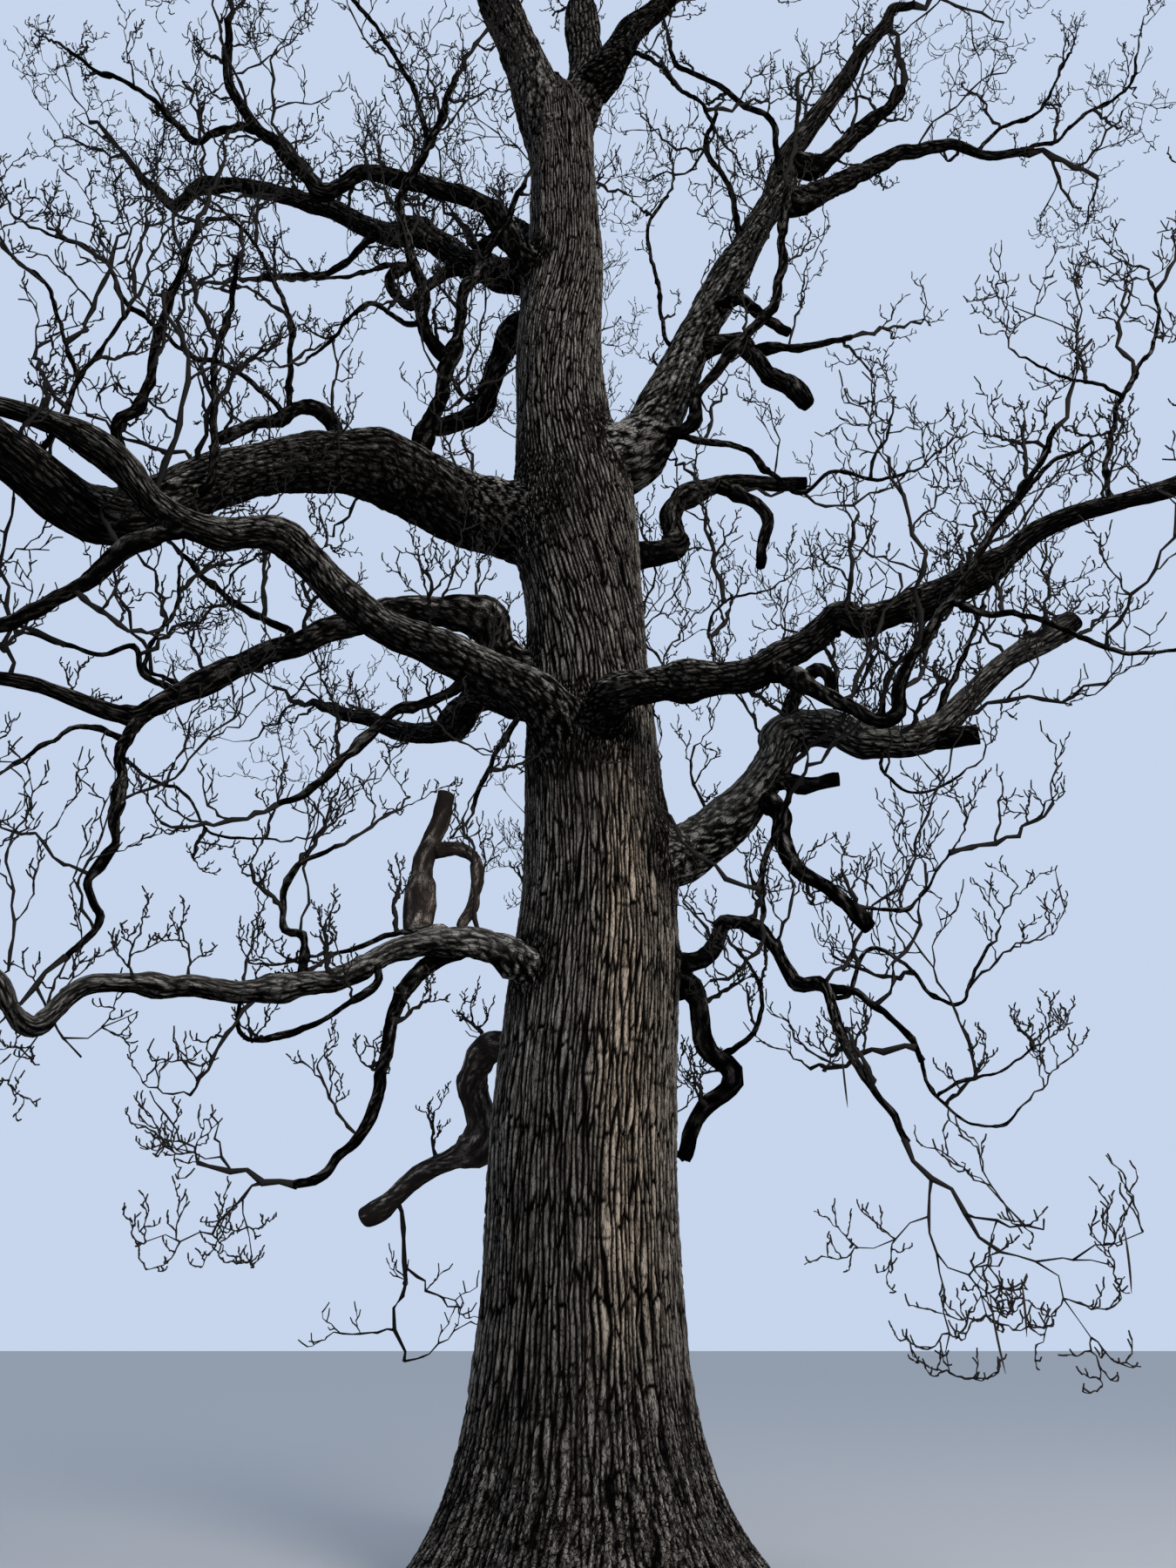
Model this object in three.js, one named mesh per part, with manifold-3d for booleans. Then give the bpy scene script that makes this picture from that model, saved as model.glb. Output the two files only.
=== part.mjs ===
// A large old northern catalpa standing bare in winter, with a thick ridged trunk, crooked boughs,
// broken and cut stubs, and upturned twigs.
// Lengths in the tables are metres and angles are degrees; the model itself is in millimetres.
// +Z is up, +X is to the right of the usual view, and the origin is the middle of the trunk's foot.
import * as THREE from "three";
import { mergeVertices } from "three/addons/utils/BufferGeometryUtils.js";
import Module from "manifold-3d";

const MM = 1000; // millimetres in a metre
const CLEARANCE = 0.00035; // gap between two limbs that meet, m

// Trunk: the width of its stem, its lean to the right and its depth as a share of the width.
const TRUNK_TOP = 15.95;
const TRUNK_STATIONS = [
  { height: 0, width: 1.5, lean: -0.04, depth: 1 },
  { height: 3.0, width: 1.46, lean: -0.04, depth: 1 },
  { height: 4.4, width: 1.4, lean: 0.07, depth: 0.98 },
  { height: 5.2, width: 1.26, lean: 0.08, depth: 0.98 },
  { height: 7.0, width: 1.14, lean: 0, depth: 1 },
  { height: 8.9, width: 1.12, lean: -0.08, depth: 1 },
  { height: 10.0, width: 0.97, lean: -0.27, depth: 1 },
  { height: 11.2, width: 0.93, lean: -0.33, depth: 1 },
  { height: 12.5, width: 0.83, lean: -0.25, depth: 1 },
  { height: 14.0, width: 0.78, lean: -0.3, depth: 1 },
  { height: 14.9, width: 0.86, lean: -0.36, depth: 0.92 },
  { height: 15.5, width: 1.1, lean: -0.4, depth: 0.72 },
  { height: TRUNK_TOP, width: 0.86, lean: -0.42, depth: 0.66 },
];
const TRUNK_SIDES = 24;
const TRUNK_ROWS = 26;
const ROW_CROWDING = 1.35; // above 1, the rows crowd towards the foot, where the shape changes fastest
const FLARE_WIDTH = 1.1; // how much wider the root flare is than the stem, at the ground
const FLARE_HEIGHT = 0.55; // height at which the flare has shrunk to a third of that
const BUTTRESSES = 7;
const BUTTRESS_RELIEF = 0.07; // how far the buttresses stand out of the flare, as a share of its radius
const BUTTRESS_HEIGHT = 1.1;
const TRUNK_STRETCH = 0.5; // the trunk is taken in stretches of this height when twigs are kept off it

// Limbs. Each leaves the trunk at that height, or its parent limb after that many legs,
// and runs in legs of [length, heading, climb]. Heading 0 is to the right and 90 is straight back.
// girth is its thickness beside the parent and tip its thickness at the far end. hold is over 1 on
// a limb that keeps its thickness for long, and collar is the swelling at its foot where that differs.
// A limb with twigs carries a mass of them beyond its tip, within that reach, and some masses have pods.
const LIMBS = [
  {
    name: "left_leader", from: "trunk", at: 15.2, girth: 0.76, tip: 0.12, collar: 0, twigs: 2.2,
    legs: [[0.9, 178, 62], [1.2, 190, 72], [1.3, 165, 78], [1.2, 150, 62], [1.0, 200, 70], [0.9, 170, 60]],
  },
  {
    name: "right_leader", from: "trunk", at: 15.2, girth: 0.64, tip: 0.1, collar: 0, twigs: 2.2,
    legs: [[0.8, 20, 60], [1.1, 140, 85], [1.0, 100, 84], [1.1, 60, 70], [1.0, 20, 65], [0.9, 60, 75]],
  },
  {
    name: "top_right_bough", from: "right_leader", at: 0.5, girth: 0.38, tip: 0.1, twigs: 2,
    legs: [[0.5, 330, 15], [0.8, 342, 55], [1.0, 350, 50], [0.9, 10, 40], [0.9, 345, 50]],
  },
  {
    name: "right_limb", from: "trunk", at: 9.55, girth: 0.52, tip: 0.1, hold: 1.4, collar: 0.45, twigs: 2.4,
    legs: [[0.85, 0, 25], [1.95, 17, 69], [2.6, 16, 66], [1.2, 347, 69], [2.1, 350, 57], [0.9, 10, 51]],
  },
  {
    name: "right_reach", from: "right_limb", at: 3, girth: 0.3, tip: 0.11, twigs: 1.7,
    legs: [[0.6, 12, 20], [1.3, 13, 47], [1.2, 12, 28], [0.5, 12, 19], [0.8, 8, 0]],
  },
  {
    name: "knee_bough", from: "trunk", at: 8.5, girth: 0.3, tip: 0.15,
    legs: [[0.8, 35, 20], [0.5, 20, 27], [0.5, 95, 78], [0.6, 20, 50], [0.7, 15, 22], [0.5, 6, 2]],
  },
  {
    name: "right_bough", from: "trunk", at: 6.15, girth: 0.36, tip: 0.09, twigs: 2.2,
    legs: [
      [0.9, 280, 16], [0.6, 340, 5], [0.7, 347, 5], [0.7, 345, 30], [0.4, 342, -17],
      [1.4, 336, 20], [1.0, 330, 5], [1.0, 340, 25],
    ],
  },
  {
    name: "right_bough_fork", from: "right_bough", at: 3, girth: 0.14, tip: 0.05, twigs: 1.6,
    legs: [[0.6, 318, -42], [0.5, 331, -40], [0.2, 344, -12], [0.4, 321, 66], [1.7, 341, 53], [0.7, 350, 60]],
  },
  {
    name: "broken_bough", from: "trunk", at: 5.15, girth: 0.46, tip: 0.14,
    legs: [
      [0.9, 0, 17], [0.9, 348, 41], [0.4, 340, 62], [0.4, 343, 0], [0.3, 348, -30],
      [0.6, 351, 0], [0.7, 347, 42], [1.0, 353, 37],
    ],
  },
  {
    name: "upright_shoot", from: "broken_bough", at: 6, girth: 0.07, tip: 0.04, twigs: 1.5,
    legs: [[0.5, 340, 70], [0.5, 20, 60], [0.5, 350, 65]],
  },
  {
    name: "low_right_bough", from: "trunk", at: 4.35, girth: 0.17, tip: 0.05, twigs: 1.5, pods: 3,
    legs: [
      [0.85, 355, 0], [0.4, 337, 55], [0.35, 332, -25], [0.55, 318, -58], [0.3, 326, -20],
      [0.7, 280, -62], [0.7, 325, -62],
    ],
  },
  {
    name: "low_back_stub", from: "trunk", at: 4.25, girth: 0.19, tip: 0.14,
    legs: [[0.85, 20, 0], [0.5, 45, -70], [0.35, 15, -50], [0.5, 160, -50], [0.3, 151, -66]],
  },
  {
    name: "great_left_bough", from: "trunk", at: 8.75, girth: 0.72, tip: 0.44,
    legs: [[0.95, 180, 15], [0.4, 195, 9], [0.8, 209, 9], [0.9, 221, -28], [1.0, 231, -42], [0.8, 237, -50]],
  },
  {
    name: "great_left_reach", from: "great_left_bough", at: 6, girth: 0.44, tip: 0.14, twigs: 2.4,
    legs: [
      [0.3, 237, -50], [0.4, 237, -28], [0.7, 244, 2], [0.9, 240, 10], [1.0, 225, 25],
      [1.0, 215, 40], [0.9, 205, 35],
    ],
  },
  {
    name: "great_left_riser", from: "great_left_bough", at: 2.5, girth: 0.17, tip: 0.06, twigs: 2,
    legs: [[0.55, 306, 76], [0.55, 330, 70], [0.85, 342, 79], [0.4, 294, 81], [1.0, 0, 70], [0.7, 0, 70]],
  },
  {
    name: "left_bough", from: "trunk", at: 6.15, girth: 0.44, tip: 0.09, twigs: 2,
    legs: [
      [0.9, 241, 16], [0.55, 208, 15], [0.9, 212, 9], [1.0, 219, 25], [0.6, 216, -25],
      [0.5, 219, 8], [0.5, 228, 30], [0.6, 205, 15], [1.2, 215, -10],
    ],
  },
  {
    name: "left_bough_fork", from: "left_bough", at: 5.5, girth: 0.16, tip: 0.06, twigs: 1.6,
    legs: [[0.5, 200, -40], [0.5, 185, -45], [0.6, 185, -35], [0.8, 190, -10]],
  },
  {
    name: "second_left_bough", from: "trunk", at: 6.95, girth: 0.33, tip: 0.08, twigs: 2,
    legs: [
      [0.8, 188, 19], [0.45, 217, 43], [0.7, 200, -8], [0.4, 207, -29], [1.9, 206, -36],
      [0.3, 203, -32], [0.9, 200, 0], [0.9, 190, 10],
    ],
  },
  {
    name: "second_left_drop", from: "second_left_bough", at: 5, girth: 0.11, tip: 0.05, twigs: 1.3,
    legs: [[0.5, 208, -66], [0.85, 310, -80], [0.4, 222, -68], [0.35, 344, -57], [0.4, 221, -60]],
  },
  {
    name: "upper_left_bough", from: "trunk", at: 12.3, girth: 0.38, tip: 0.1, twigs: 2,
    legs: [
      [0.85, 165, 18], [0.9, 168, 40], [0.55, 164, 50], [0.45, 174, 0], [1.7, 172, 32],
      [0.9, 170, 22], [0.6, 170, -26], [1.1, 172, 53],
    ],
  },
  {
    name: "upper_left_fork", from: "trunk", at: 12.1, girth: 0.26, tip: 0.08, twigs: 2,
    legs: [
      [0.7, 213, 21], [0.35, 197, 59], [0.55, 193, 34], [1.0, 192, 5], [0.4, 190, -40],
      [0.3, 190, -2], [1.6, 192, 54], [1.0, 212, 79],
    ],
  },
  {
    name: "back_left_stub", from: "trunk", at: 11.8, girth: 0.3, tip: 0.19,
    legs: [[0.7, 144, 0], [0.7, 160, -65], [0.35, 141, -62], [0.65, 162, -2]],
  },
  {
    name: "low_left_bough", from: "trunk", at: 4.0, girth: 0.27, tip: 0.07, twigs: 1.6,
    legs: [
      [0.95, 217, 15], [0.5, 210, -5], [0.45, 206, -12], [0.7, 211, -31], [1.3, 212, -7],
      [0.55, 217, -40], [0.5, 220, 40], [0.7, 200, 25],
    ],
  },
  {
    name: "low_left_drop", from: "low_left_bough", at: 1.5, girth: 0.14, tip: 0.06, twigs: 1.1,
    legs: [[0.4, 190, -27], [0.35, 213, -58], [0.8, 256, -78], [0.6, 206, -55], [0.2, 196, -14]],
  },
  {
    name: "dead_left_limb", from: "trunk", at: 3.5, girth: 0.26, tip: 0.16,
    legs: [
      [1.0, 148, 15], [0.4, 137, -37], [0.4, 50, -63], [0.2, 138, -69], [0.4, 155, -26],
      [0.75, 158, -27],
    ],
  },
  {
    name: "back_low_bough", from: "trunk", at: 5.6, girth: 0.4, tip: 0.09, twigs: 2.2,
    legs: [[1.1, 100, 12], [0.8, 85, 30], [0.9, 110, 10], [1.0, 95, -10], [1.0, 80, 25], [0.9, 95, 35]],
  },
  {
    name: "back_left_bough", from: "trunk", at: 7.0, girth: 0.44, tip: 0.1, twigs: 2.4,
    legs: [[1.0, 122, 15], [0.9, 140, 25], [1.0, 120, 5], [1.1, 135, 20], [1.1, 145, 35], [0.9, 130, 25]],
  },
  {
    name: "back_right_bough", from: "trunk", at: 7.4, girth: 0.36, tip: 0.09, twigs: 2.2,
    legs: [[1.0, 70, 18], [0.9, 85, 35], [1.0, 60, 10], [1.0, 50, 25], [0.9, 35, 40]],
  },
  {
    name: "back_middle_bough", from: "trunk", at: 9.6, girth: 0.38, tip: 0.09, twigs: 2.2,
    legs: [[0.9, 100, 20], [0.9, 85, 45], [1.0, 105, 20], [1.1, 90, 40], [0.9, 100, 55]],
  },
  {
    name: "back_high_bough", from: "trunk", at: 11.2, girth: 0.32, tip: 0.09, twigs: 2.2,
    legs: [[0.8, 88, 25], [0.9, 84, 50], [1.0, 96, 25], [1.0, 86, 45], [0.9, 94, 60]],
  },
  {
    name: "back_top_left_bough", from: "trunk", at: 13.2, girth: 0.28, tip: 0.08, twigs: 2.2,
    legs: [[0.7, 122, 30], [0.9, 135, 50], [1.0, 120, 30], [1.0, 130, 60]],
  },
  {
    name: "back_top_right_bough", from: "trunk", at: 14.2, girth: 0.28, tip: 0.08, twigs: 2.2,
    legs: [[0.7, 86, 30], [0.9, 80, 50], [1.0, 92, 35], [1.0, 82, 60]],
  },
];
const SIDES_BY_GIRTH = [
  { over: 0.6, sides: 10 },
  { over: 0.2, sides: 8 },
  { over: 0, sides: 6 },
];
const ROWS_PER_LEG = 2;
const COLLAR = 0.3; // swelling where a limb leaves its parent, as a share of its thickness
const NEARLY_UPRIGHT = 0.9; // a limb that starts off steeper than this is framed from +X instead of +Z
const ON_AXIS = 1e-6; // a corner nearer to the axis than this is the middle of an end

// Twigs. A stem grows on from its limb's tip, and every twig forks by the same seeded rule.
const TWIG_SIDES = 3;
const TWIG_STEPS = [3, 3, 2]; // straight stretches in the stem, in its twigs and in theirs
const TWIG_ORDERS = TWIG_STEPS.length;
const LAST_ORDER_FROM = 2; // the last order leaves a twig past this many stretches
const STEM_SHARE = 0.62; // length of the stem, as a share of the mass's reach
const STEM_GIRTH = 0.9; // thickness of the stem where it starts, as a share of the limb's tip
const TWIG_TAPER = 0.55; // thickness left at the end of a twig, as a share of its foot
const TWIG_WANDER = 0.55; // how much a twig swings about from stretch to stretch
const TWIG_RISE = 0.3; // how strongly it turns up to the light
const FORK_GIRTH = 0.62; // thickness of a twig, as a share of the one that carries it
const FORK_LENGTH = 0.8; // its length, as a share in the same way
const FORK_VARY = 0.3; // how much that length differs from twig to twig
const FORK_SPREAD = 52; // angle at which a twig leaves
const SPREAD_VARY = 20;
const FORK_TURN = 137.5; // turn from one twig to the next, round the stem
const TURN_VARY = 60;
const FEWEST_POINTS = 3; // a twig with less room than this is left out
const SEEDS_A_TWIG = 8; // seeds kept for the forks of one twig
const SPACE_CENTRE = 0.5; // middle of a mass's own space from its limb's tip, as a share of its reach
const SPACE_RADIUS = 0.75; // and its radius
const TWIG_ROOM = 0.03; // least room between a twig and a limb or another mass's space, m
const GROUND_ROOM = 0.3; // least height of a twig over the ground, m

// Pods: long dry seed pods that hang from the last twigs of a few masses.
const POD_LENGTH = 0.38;
const POD_GIRTH = 0.016;
const POD_SHAPE = [0.35, 1, 1, 0.2]; // its thickness from top to bottom, as a share of the girth

// Bark and twigs, as they look in flat winter light.
const COLOURS = { trunk: 0x4d443b, bough: 0x3b3530, dead: 0x625b52, twig: 0x46403a };
const BARK_ROUGHNESS = 0.95;
const DEAD_LIMBS = ["dead_left_limb"];

const UP = new THREE.Vector3(0, 0, 1);
const radians = THREE.MathUtils.degToRad;
const wasm = await Module();
wasm.setup();

// Numbers between 0 and 1 that are the same for the same seed.
function dice(seed) {
  let state = Math.imul(seed, 2654435761) >>> 0;
  return () => {
    state = (Math.imul(state, 1664525) + 1013904223) >>> 0;
    return state / 2 ** 32;
  };
}

function bearing(heading, climb) {
  const flat = Math.cos(radians(climb));
  return new THREE.Vector3(
    flat * Math.cos(radians(heading)),
    flat * Math.sin(radians(heading)),
    Math.sin(radians(climb)),
  );
}

// The way ahead at each point of a course, and two directions square to it, carried along without twist.
function framesAlong(points, firstWay = null) {
  const last = points.length - 1;
  const frames = [];
  let normal = null;
  for (let i = 0; i <= last; i++) {
    const before = points[Math.max(0, i - 1)];
    const after = points[Math.min(last, i + 1)];
    const way = new THREE.Vector3().subVectors(after, before).normalize();
    if (i === 0 && firstWay) way.copy(firstWay);
    const spare = Math.abs(way.z) < NEARLY_UPRIGHT ? UP : new THREE.Vector3(1, 0, 0);
    normal = (normal ?? spare).clone();
    normal.addScaledVector(way, -normal.dot(way)).normalize();
    const side = new THREE.Vector3().crossVectors(normal, way);
    frames.push({ way, normal, side });
  }
  return frames;
}

// A unit cylinder, or cone, with one row of corners for each point, bent along the points.
// radiusAt gives the size of the section at a row and an angle round it.
function bent(points, frames, sides, radiusAt, pointed = false) {
  const rows = points.length - 1;
  const straight = pointed
    ? new THREE.ConeGeometry(1, rows, sides, rows)
    : new THREE.CylinderGeometry(1, 1, rows, sides, rows);
  straight.deleteAttribute("normal");
  straight.deleteAttribute("uv");
  const body = mergeVertices(straight);
  const place = body.getAttribute("position");
  for (let i = 0; i < place.count; i++) {
    const row = Math.round(place.getY(i) + rows / 2);
    const [x, z] = [place.getX(i), place.getZ(i)];
    const angle = Math.atan2(z, x);
    const radius = Math.hypot(x, z) > ON_AXIS ? radiusAt(row, angle) : 0;
    const corner = points[row]
      .clone()
      .addScaledVector(frames[row].normal, radius * Math.cos(angle))
      .addScaledVector(frames[row].side, radius * Math.sin(angle))
      .multiplyScalar(MM);
    place.setXYZ(i, corner.x, corner.y, corner.z);
  }
  return new wasm.Manifold(
    new wasm.Mesh({
      numProp: 3,
      vertProperties: place.array,
      triVerts: new Uint32Array(body.index.array),
    }),
  );
}

// Trunk

function trunkStation(height) {
  const above = TRUNK_STATIONS.findIndex((station) => station.height >= height);
  const high = TRUNK_STATIONS[Math.max(1, above)];
  const low = TRUNK_STATIONS[Math.max(1, above) - 1];
  const share = (height - low.height) / (high.height - low.height);
  const between = (key) => THREE.MathUtils.lerp(low[key], high[key], share);
  return { width: between("width"), lean: between("lean"), depth: between("depth") };
}

function trunkRadius(height) {
  const flare = FLARE_WIDTH * Math.exp(-height / FLARE_HEIGHT);
  return (trunkStation(height).width + flare) / 2;
}

function trunkPoint(height) {
  return new THREE.Vector3(trunkStation(height).lean, 0, height);
}

function trunkSolid(extra) {
  const heights = Array.from(
    { length: TRUNK_ROWS + 1 },
    (_, row) => TRUNK_TOP * (row / TRUNK_ROWS) ** ROW_CROWDING,
  );
  const points = heights.map(trunkPoint);
  points[0].z -= extra;
  points[TRUNK_ROWS].z += extra;
  const level = {
    way: UP,
    normal: new THREE.Vector3(1, 0, 0),
    side: new THREE.Vector3(0, -1, 0),
  };
  return bent(points, points.map(() => level), TRUNK_SIDES, (row, angle) => {
    const height = heights[row];
    const lobes = BUTTRESS_RELIEF * Math.exp(-height / BUTTRESS_HEIGHT);
    const round = trunkRadius(height) * (1 + lobes * Math.cos(BUTTRESSES * angle)) + extra;
    const depth = trunkStation(height).depth;
    return round / Math.hypot(Math.cos(angle), Math.sin(angle) / depth);
  });
}

// Limbs

const trunk = { name: "trunk", solid: trunkSolid(0), wider: trunkSolid(CLEARANCE) };

// The place where a limb starts, how thick its parent is there, and the way that the parent runs.
function footOf(limb, parent) {
  if (parent === trunk) return { start: trunkPoint(limb.at), buried: trunkRadius(limb.at), way: null };
  const last = parent.points.length - 1;
  const row = Math.round(limb.at * ROWS_PER_LEG);
  const way = parent.frames[row].way;
  const start = parent.points[row].clone();
  if (row < last) return { start, buried: parent.radii[row], way: null };
  return { start: start.addScaledVector(way, CLEARANCE), buried: 0, way };
}

function growLimb(limb, parent) {
  const { start, buried, way } = footOf(limb, parent);
  const bends = [start];
  for (const [length, heading, climb] of limb.legs) {
    bends.push(bends.at(-1).clone().addScaledVector(bearing(heading, climb), length));
  }
  const curve = new THREE.CatmullRomCurve3(bends, false, "catmullrom", 0.5);
  const points = curve.getPoints(limb.legs.length * ROWS_PER_LEG);
  const along = [0];
  for (let i = 1; i < points.length; i++) along.push(along[i - 1] + points[i].distanceTo(points[i - 1]));
  const collar = way ? 0 : (limb.collar ?? COLLAR);
  const radii = along.map((distance) => {
    const share = (distance / along.at(-1)) ** (limb.hold ?? 1);
    const taper = THREE.MathUtils.lerp(limb.girth, limb.tip, share);
    const past = Math.max(0, distance - buried) / limb.girth;
    return (taper / 2) * (1 + collar * Math.exp(-past));
  });
  const frames = framesAlong(points, way);
  const { sides } = SIDES_BY_GIRTH.find((size) => limb.girth >= size.over);
  const swept = (extra) => {
    const longer = points.map((point) => point.clone());
    longer[0].addScaledVector(frames[0].way, -extra);
    longer.at(-1).addScaledVector(frames.at(-1).way, extra);
    return bent(longer, frames, sides, (row) => radii[row] + extra);
  };
  return { ...limb, points, radii, frames, solid: swept(0), wider: swept(CLEARANCE) };
}

// What is left of a solid once loose scraps are dropped.
function largest(solid) {
  return solid.decompose().reduce((best, piece) => (piece.volume() > best.volume() ? piece : best));
}

// Each limb is cut by what was grown before it, so that it sits on its parent's bark.
const grown = new Map([["trunk", trunk]]);
for (const limb of LIMBS) {
  const next = growLimb(limb, grown.get(limb.from));
  let cut = next.solid;
  for (const earlier of grown.values()) cut = cut.subtract(earlier.wider);
  next.solid = largest(cut);
  grown.set(limb.name, next);
}

// Masses of twigs

const masses = [...grown.values()]
  .filter((limb) => limb.twigs)
  .map((limb, index) => {
    const way = limb.frames.at(-1).way;
    const tip = limb.points.at(-1);
    return {
      limb,
      way,
      name: limb.name + "_twigs",
      seed: index + 1,
      pods: limb.pods ?? 0,
      start: tip.clone().addScaledVector(way, CLEARANCE),
      centre: tip.clone().addScaledVector(way, limb.twigs * SPACE_CENTRE),
      radius: limb.twigs * SPACE_RADIUS,
    };
  });

// Straight stretches of every limb, for keeping twigs clear of them.
const stretches = [];
for (const limb of grown.values()) {
  if (limb === trunk) {
    for (let height = 0; height < TRUNK_TOP; height += TRUNK_STRETCH) {
      const high = Math.min(TRUNK_TOP, height + TRUNK_STRETCH);
      stretches.push({ limb, a: trunkPoint(height), b: trunkPoint(high), radius: trunkRadius(height) });
    }
    continue;
  }
  for (let i = 1; i < limb.points.length; i++) {
    stretches.push({ limb, a: limb.points[i - 1], b: limb.points[i], radius: limb.radii[i - 1] });
  }
}

// Least distance between a stretch of limb and a short stretch of twig, tested at its two ends and middle.
function distanceTo(stretch, from, to) {
  const line = new THREE.Line3(stretch.a, stretch.b);
  const near = new THREE.Vector3();
  const tests = [from, from.clone().lerp(to, 0.5), to];
  return Math.min(...tests.map((point) => line.closestPointToPoint(point, true, near).distanceTo(point)));
}

function fits(mass, from, to, radius, isStem) {
  const room = radius + TWIG_ROOM;
  if (to.z < GROUND_ROOM || to.distanceTo(mass.centre) > mass.radius) return false;
  for (const other of masses) {
    if (other === mass) continue;
    const apart = other.centre.distanceTo(mass.centre);
    const lead = (to.distanceToSquared(other.centre) - to.distanceToSquared(mass.centre)) / (2 * apart);
    if (lead < room) return false;
  }
  return stretches.every((stretch) => {
    if (isStem && stretch.limb === mass.limb) return true;
    return distanceTo(stretch, from, to) > stretch.radius + room;
  });
}

// A pod that hangs straight down from a point on a twig, if there is room for it.
function hangPod(mass, top) {
  const points = POD_SHAPE.map((_, row) => {
    const drop = (POD_LENGTH * row) / (POD_SHAPE.length - 1);
    return top.clone().addScaledVector(UP, -drop);
  });
  if (!fits(mass, points[1], points.at(-1), POD_GIRTH, false)) return [];
  mass.pods -= 1;
  return [bent(points, framesAlong(points), TWIG_SIDES, (row) => (POD_GIRTH / 2) * POD_SHAPE[row])];
}

// One twig and all that forks from it, as a list of solids. It stops where the next stretch wouldn't fit.
function growTwig(mass, twig) {
  const { start, way, length, radius, order, seed } = twig;
  const roll = dice(seed);
  const isStem = order === 1;
  const points = [start];
  const heading = way.clone();
  const steps = TWIG_STEPS[order - 1];
  for (let step = 0; step < steps; step++) {
    const swing = new THREE.Vector3(roll() - 0.5, roll() - 0.5, roll() - 0.5);
    if (!(isStem && step === 0)) {
      heading.addScaledVector(swing, TWIG_WANDER).addScaledVector(UP, TWIG_RISE / steps).normalize();
    }
    const next = points.at(-1).clone().addScaledVector(heading, length / steps);
    if (!fits(mass, points.at(-1), next, radius, isStem)) break;
    points.push(next);
  }
  if (points.length < FEWEST_POINTS) return [];
  const frames = framesAlong(points, isStem ? way : null);
  const thin = (row) => radius * THREE.MathUtils.lerp(1, TWIG_TAPER, row / (points.length - 1));
  const solids = [bent(points, frames, TWIG_SIDES, thin, order === TWIG_ORDERS)];
  if (order === TWIG_ORDERS) {
    if (mass.pods > 0) solids.push(...hangPod(mass, points.at(-2)));
    return solids;
  }
  for (let row = 1; row < points.length; row++) {
    const { way: along, normal, side } = frames[row];
    const turn = radians(FORK_TURN * row + TURN_VARY * roll());
    const out = normal.clone().multiplyScalar(Math.cos(turn)).addScaledVector(side, Math.sin(turn));
    const spread = radians(FORK_SPREAD + SPREAD_VARY * (roll() - 0.5));
    const child = {
      start: points[row],
      way: along.clone().multiplyScalar(Math.cos(spread)).addScaledVector(out, Math.sin(spread)),
      length: length * FORK_LENGTH * (1 + FORK_VARY * (roll() - 0.5)),
      radius: thin(row) * FORK_GIRTH,
      order: order + 1,
      seed: seed * SEEDS_A_TWIG + row,
    };
    const bare = child.order === TWIG_ORDERS && row < LAST_ORDER_FROM;
    if (!bare) solids.push(...growTwig(mass, child));
  }
  return solids;
}

function massSolid(mass) {
  const stem = {
    start: mass.start,
    way: mass.way,
    length: mass.limb.twigs * STEM_SHARE,
    radius: (mass.limb.tip / 2) * STEM_GIRTH,
    order: 1,
    seed: mass.seed,
  };
  return largest(growTwig(mass, stem).reduce((all, twig) => all.add(twig)));
}

// Scene

function meshOf(name, solid, colour) {
  const { vertProperties, triVerts } = solid.getMesh();
  const geometry = new THREE.BufferGeometry();
  geometry.setAttribute("position", new THREE.BufferAttribute(vertProperties, 3));
  geometry.setIndex(new THREE.BufferAttribute(triVerts, 1));
  geometry.computeVertexNormals();
  const bark = new THREE.MeshStandardMaterial({ color: colour, roughness: BARK_ROUGHNESS, metalness: 0 });
  const mesh = new THREE.Mesh(geometry, bark);
  mesh.name = name;
  return mesh;
}

const limbs = new THREE.Group();
const crown = new THREE.Group();
for (const { name, solid } of grown.values()) {
  const colour = DEAD_LIMBS.includes(name) ? COLOURS.dead : COLOURS.bough;
  limbs.add(meshOf(name, solid, name === "trunk" ? COLOURS.trunk : colour));
}
for (const mass of masses) crown.add(meshOf(mass.name, massSolid(mass), COLOURS.twig));
const tree = new THREE.Group();
tree.add(limbs, crown);

export default tree;
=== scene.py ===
# A large old northern catalpa standing bare in winter. The trunk and boughs carry their bark in relief,
# and the masses of twigs grow on from the limbs by the same seeded rule as the solids, to finer twigs.
# Lengths are metres and angles are degrees. Heading 0 is to the right and heading 90 is straight back.
import math
from types import SimpleNamespace

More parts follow.
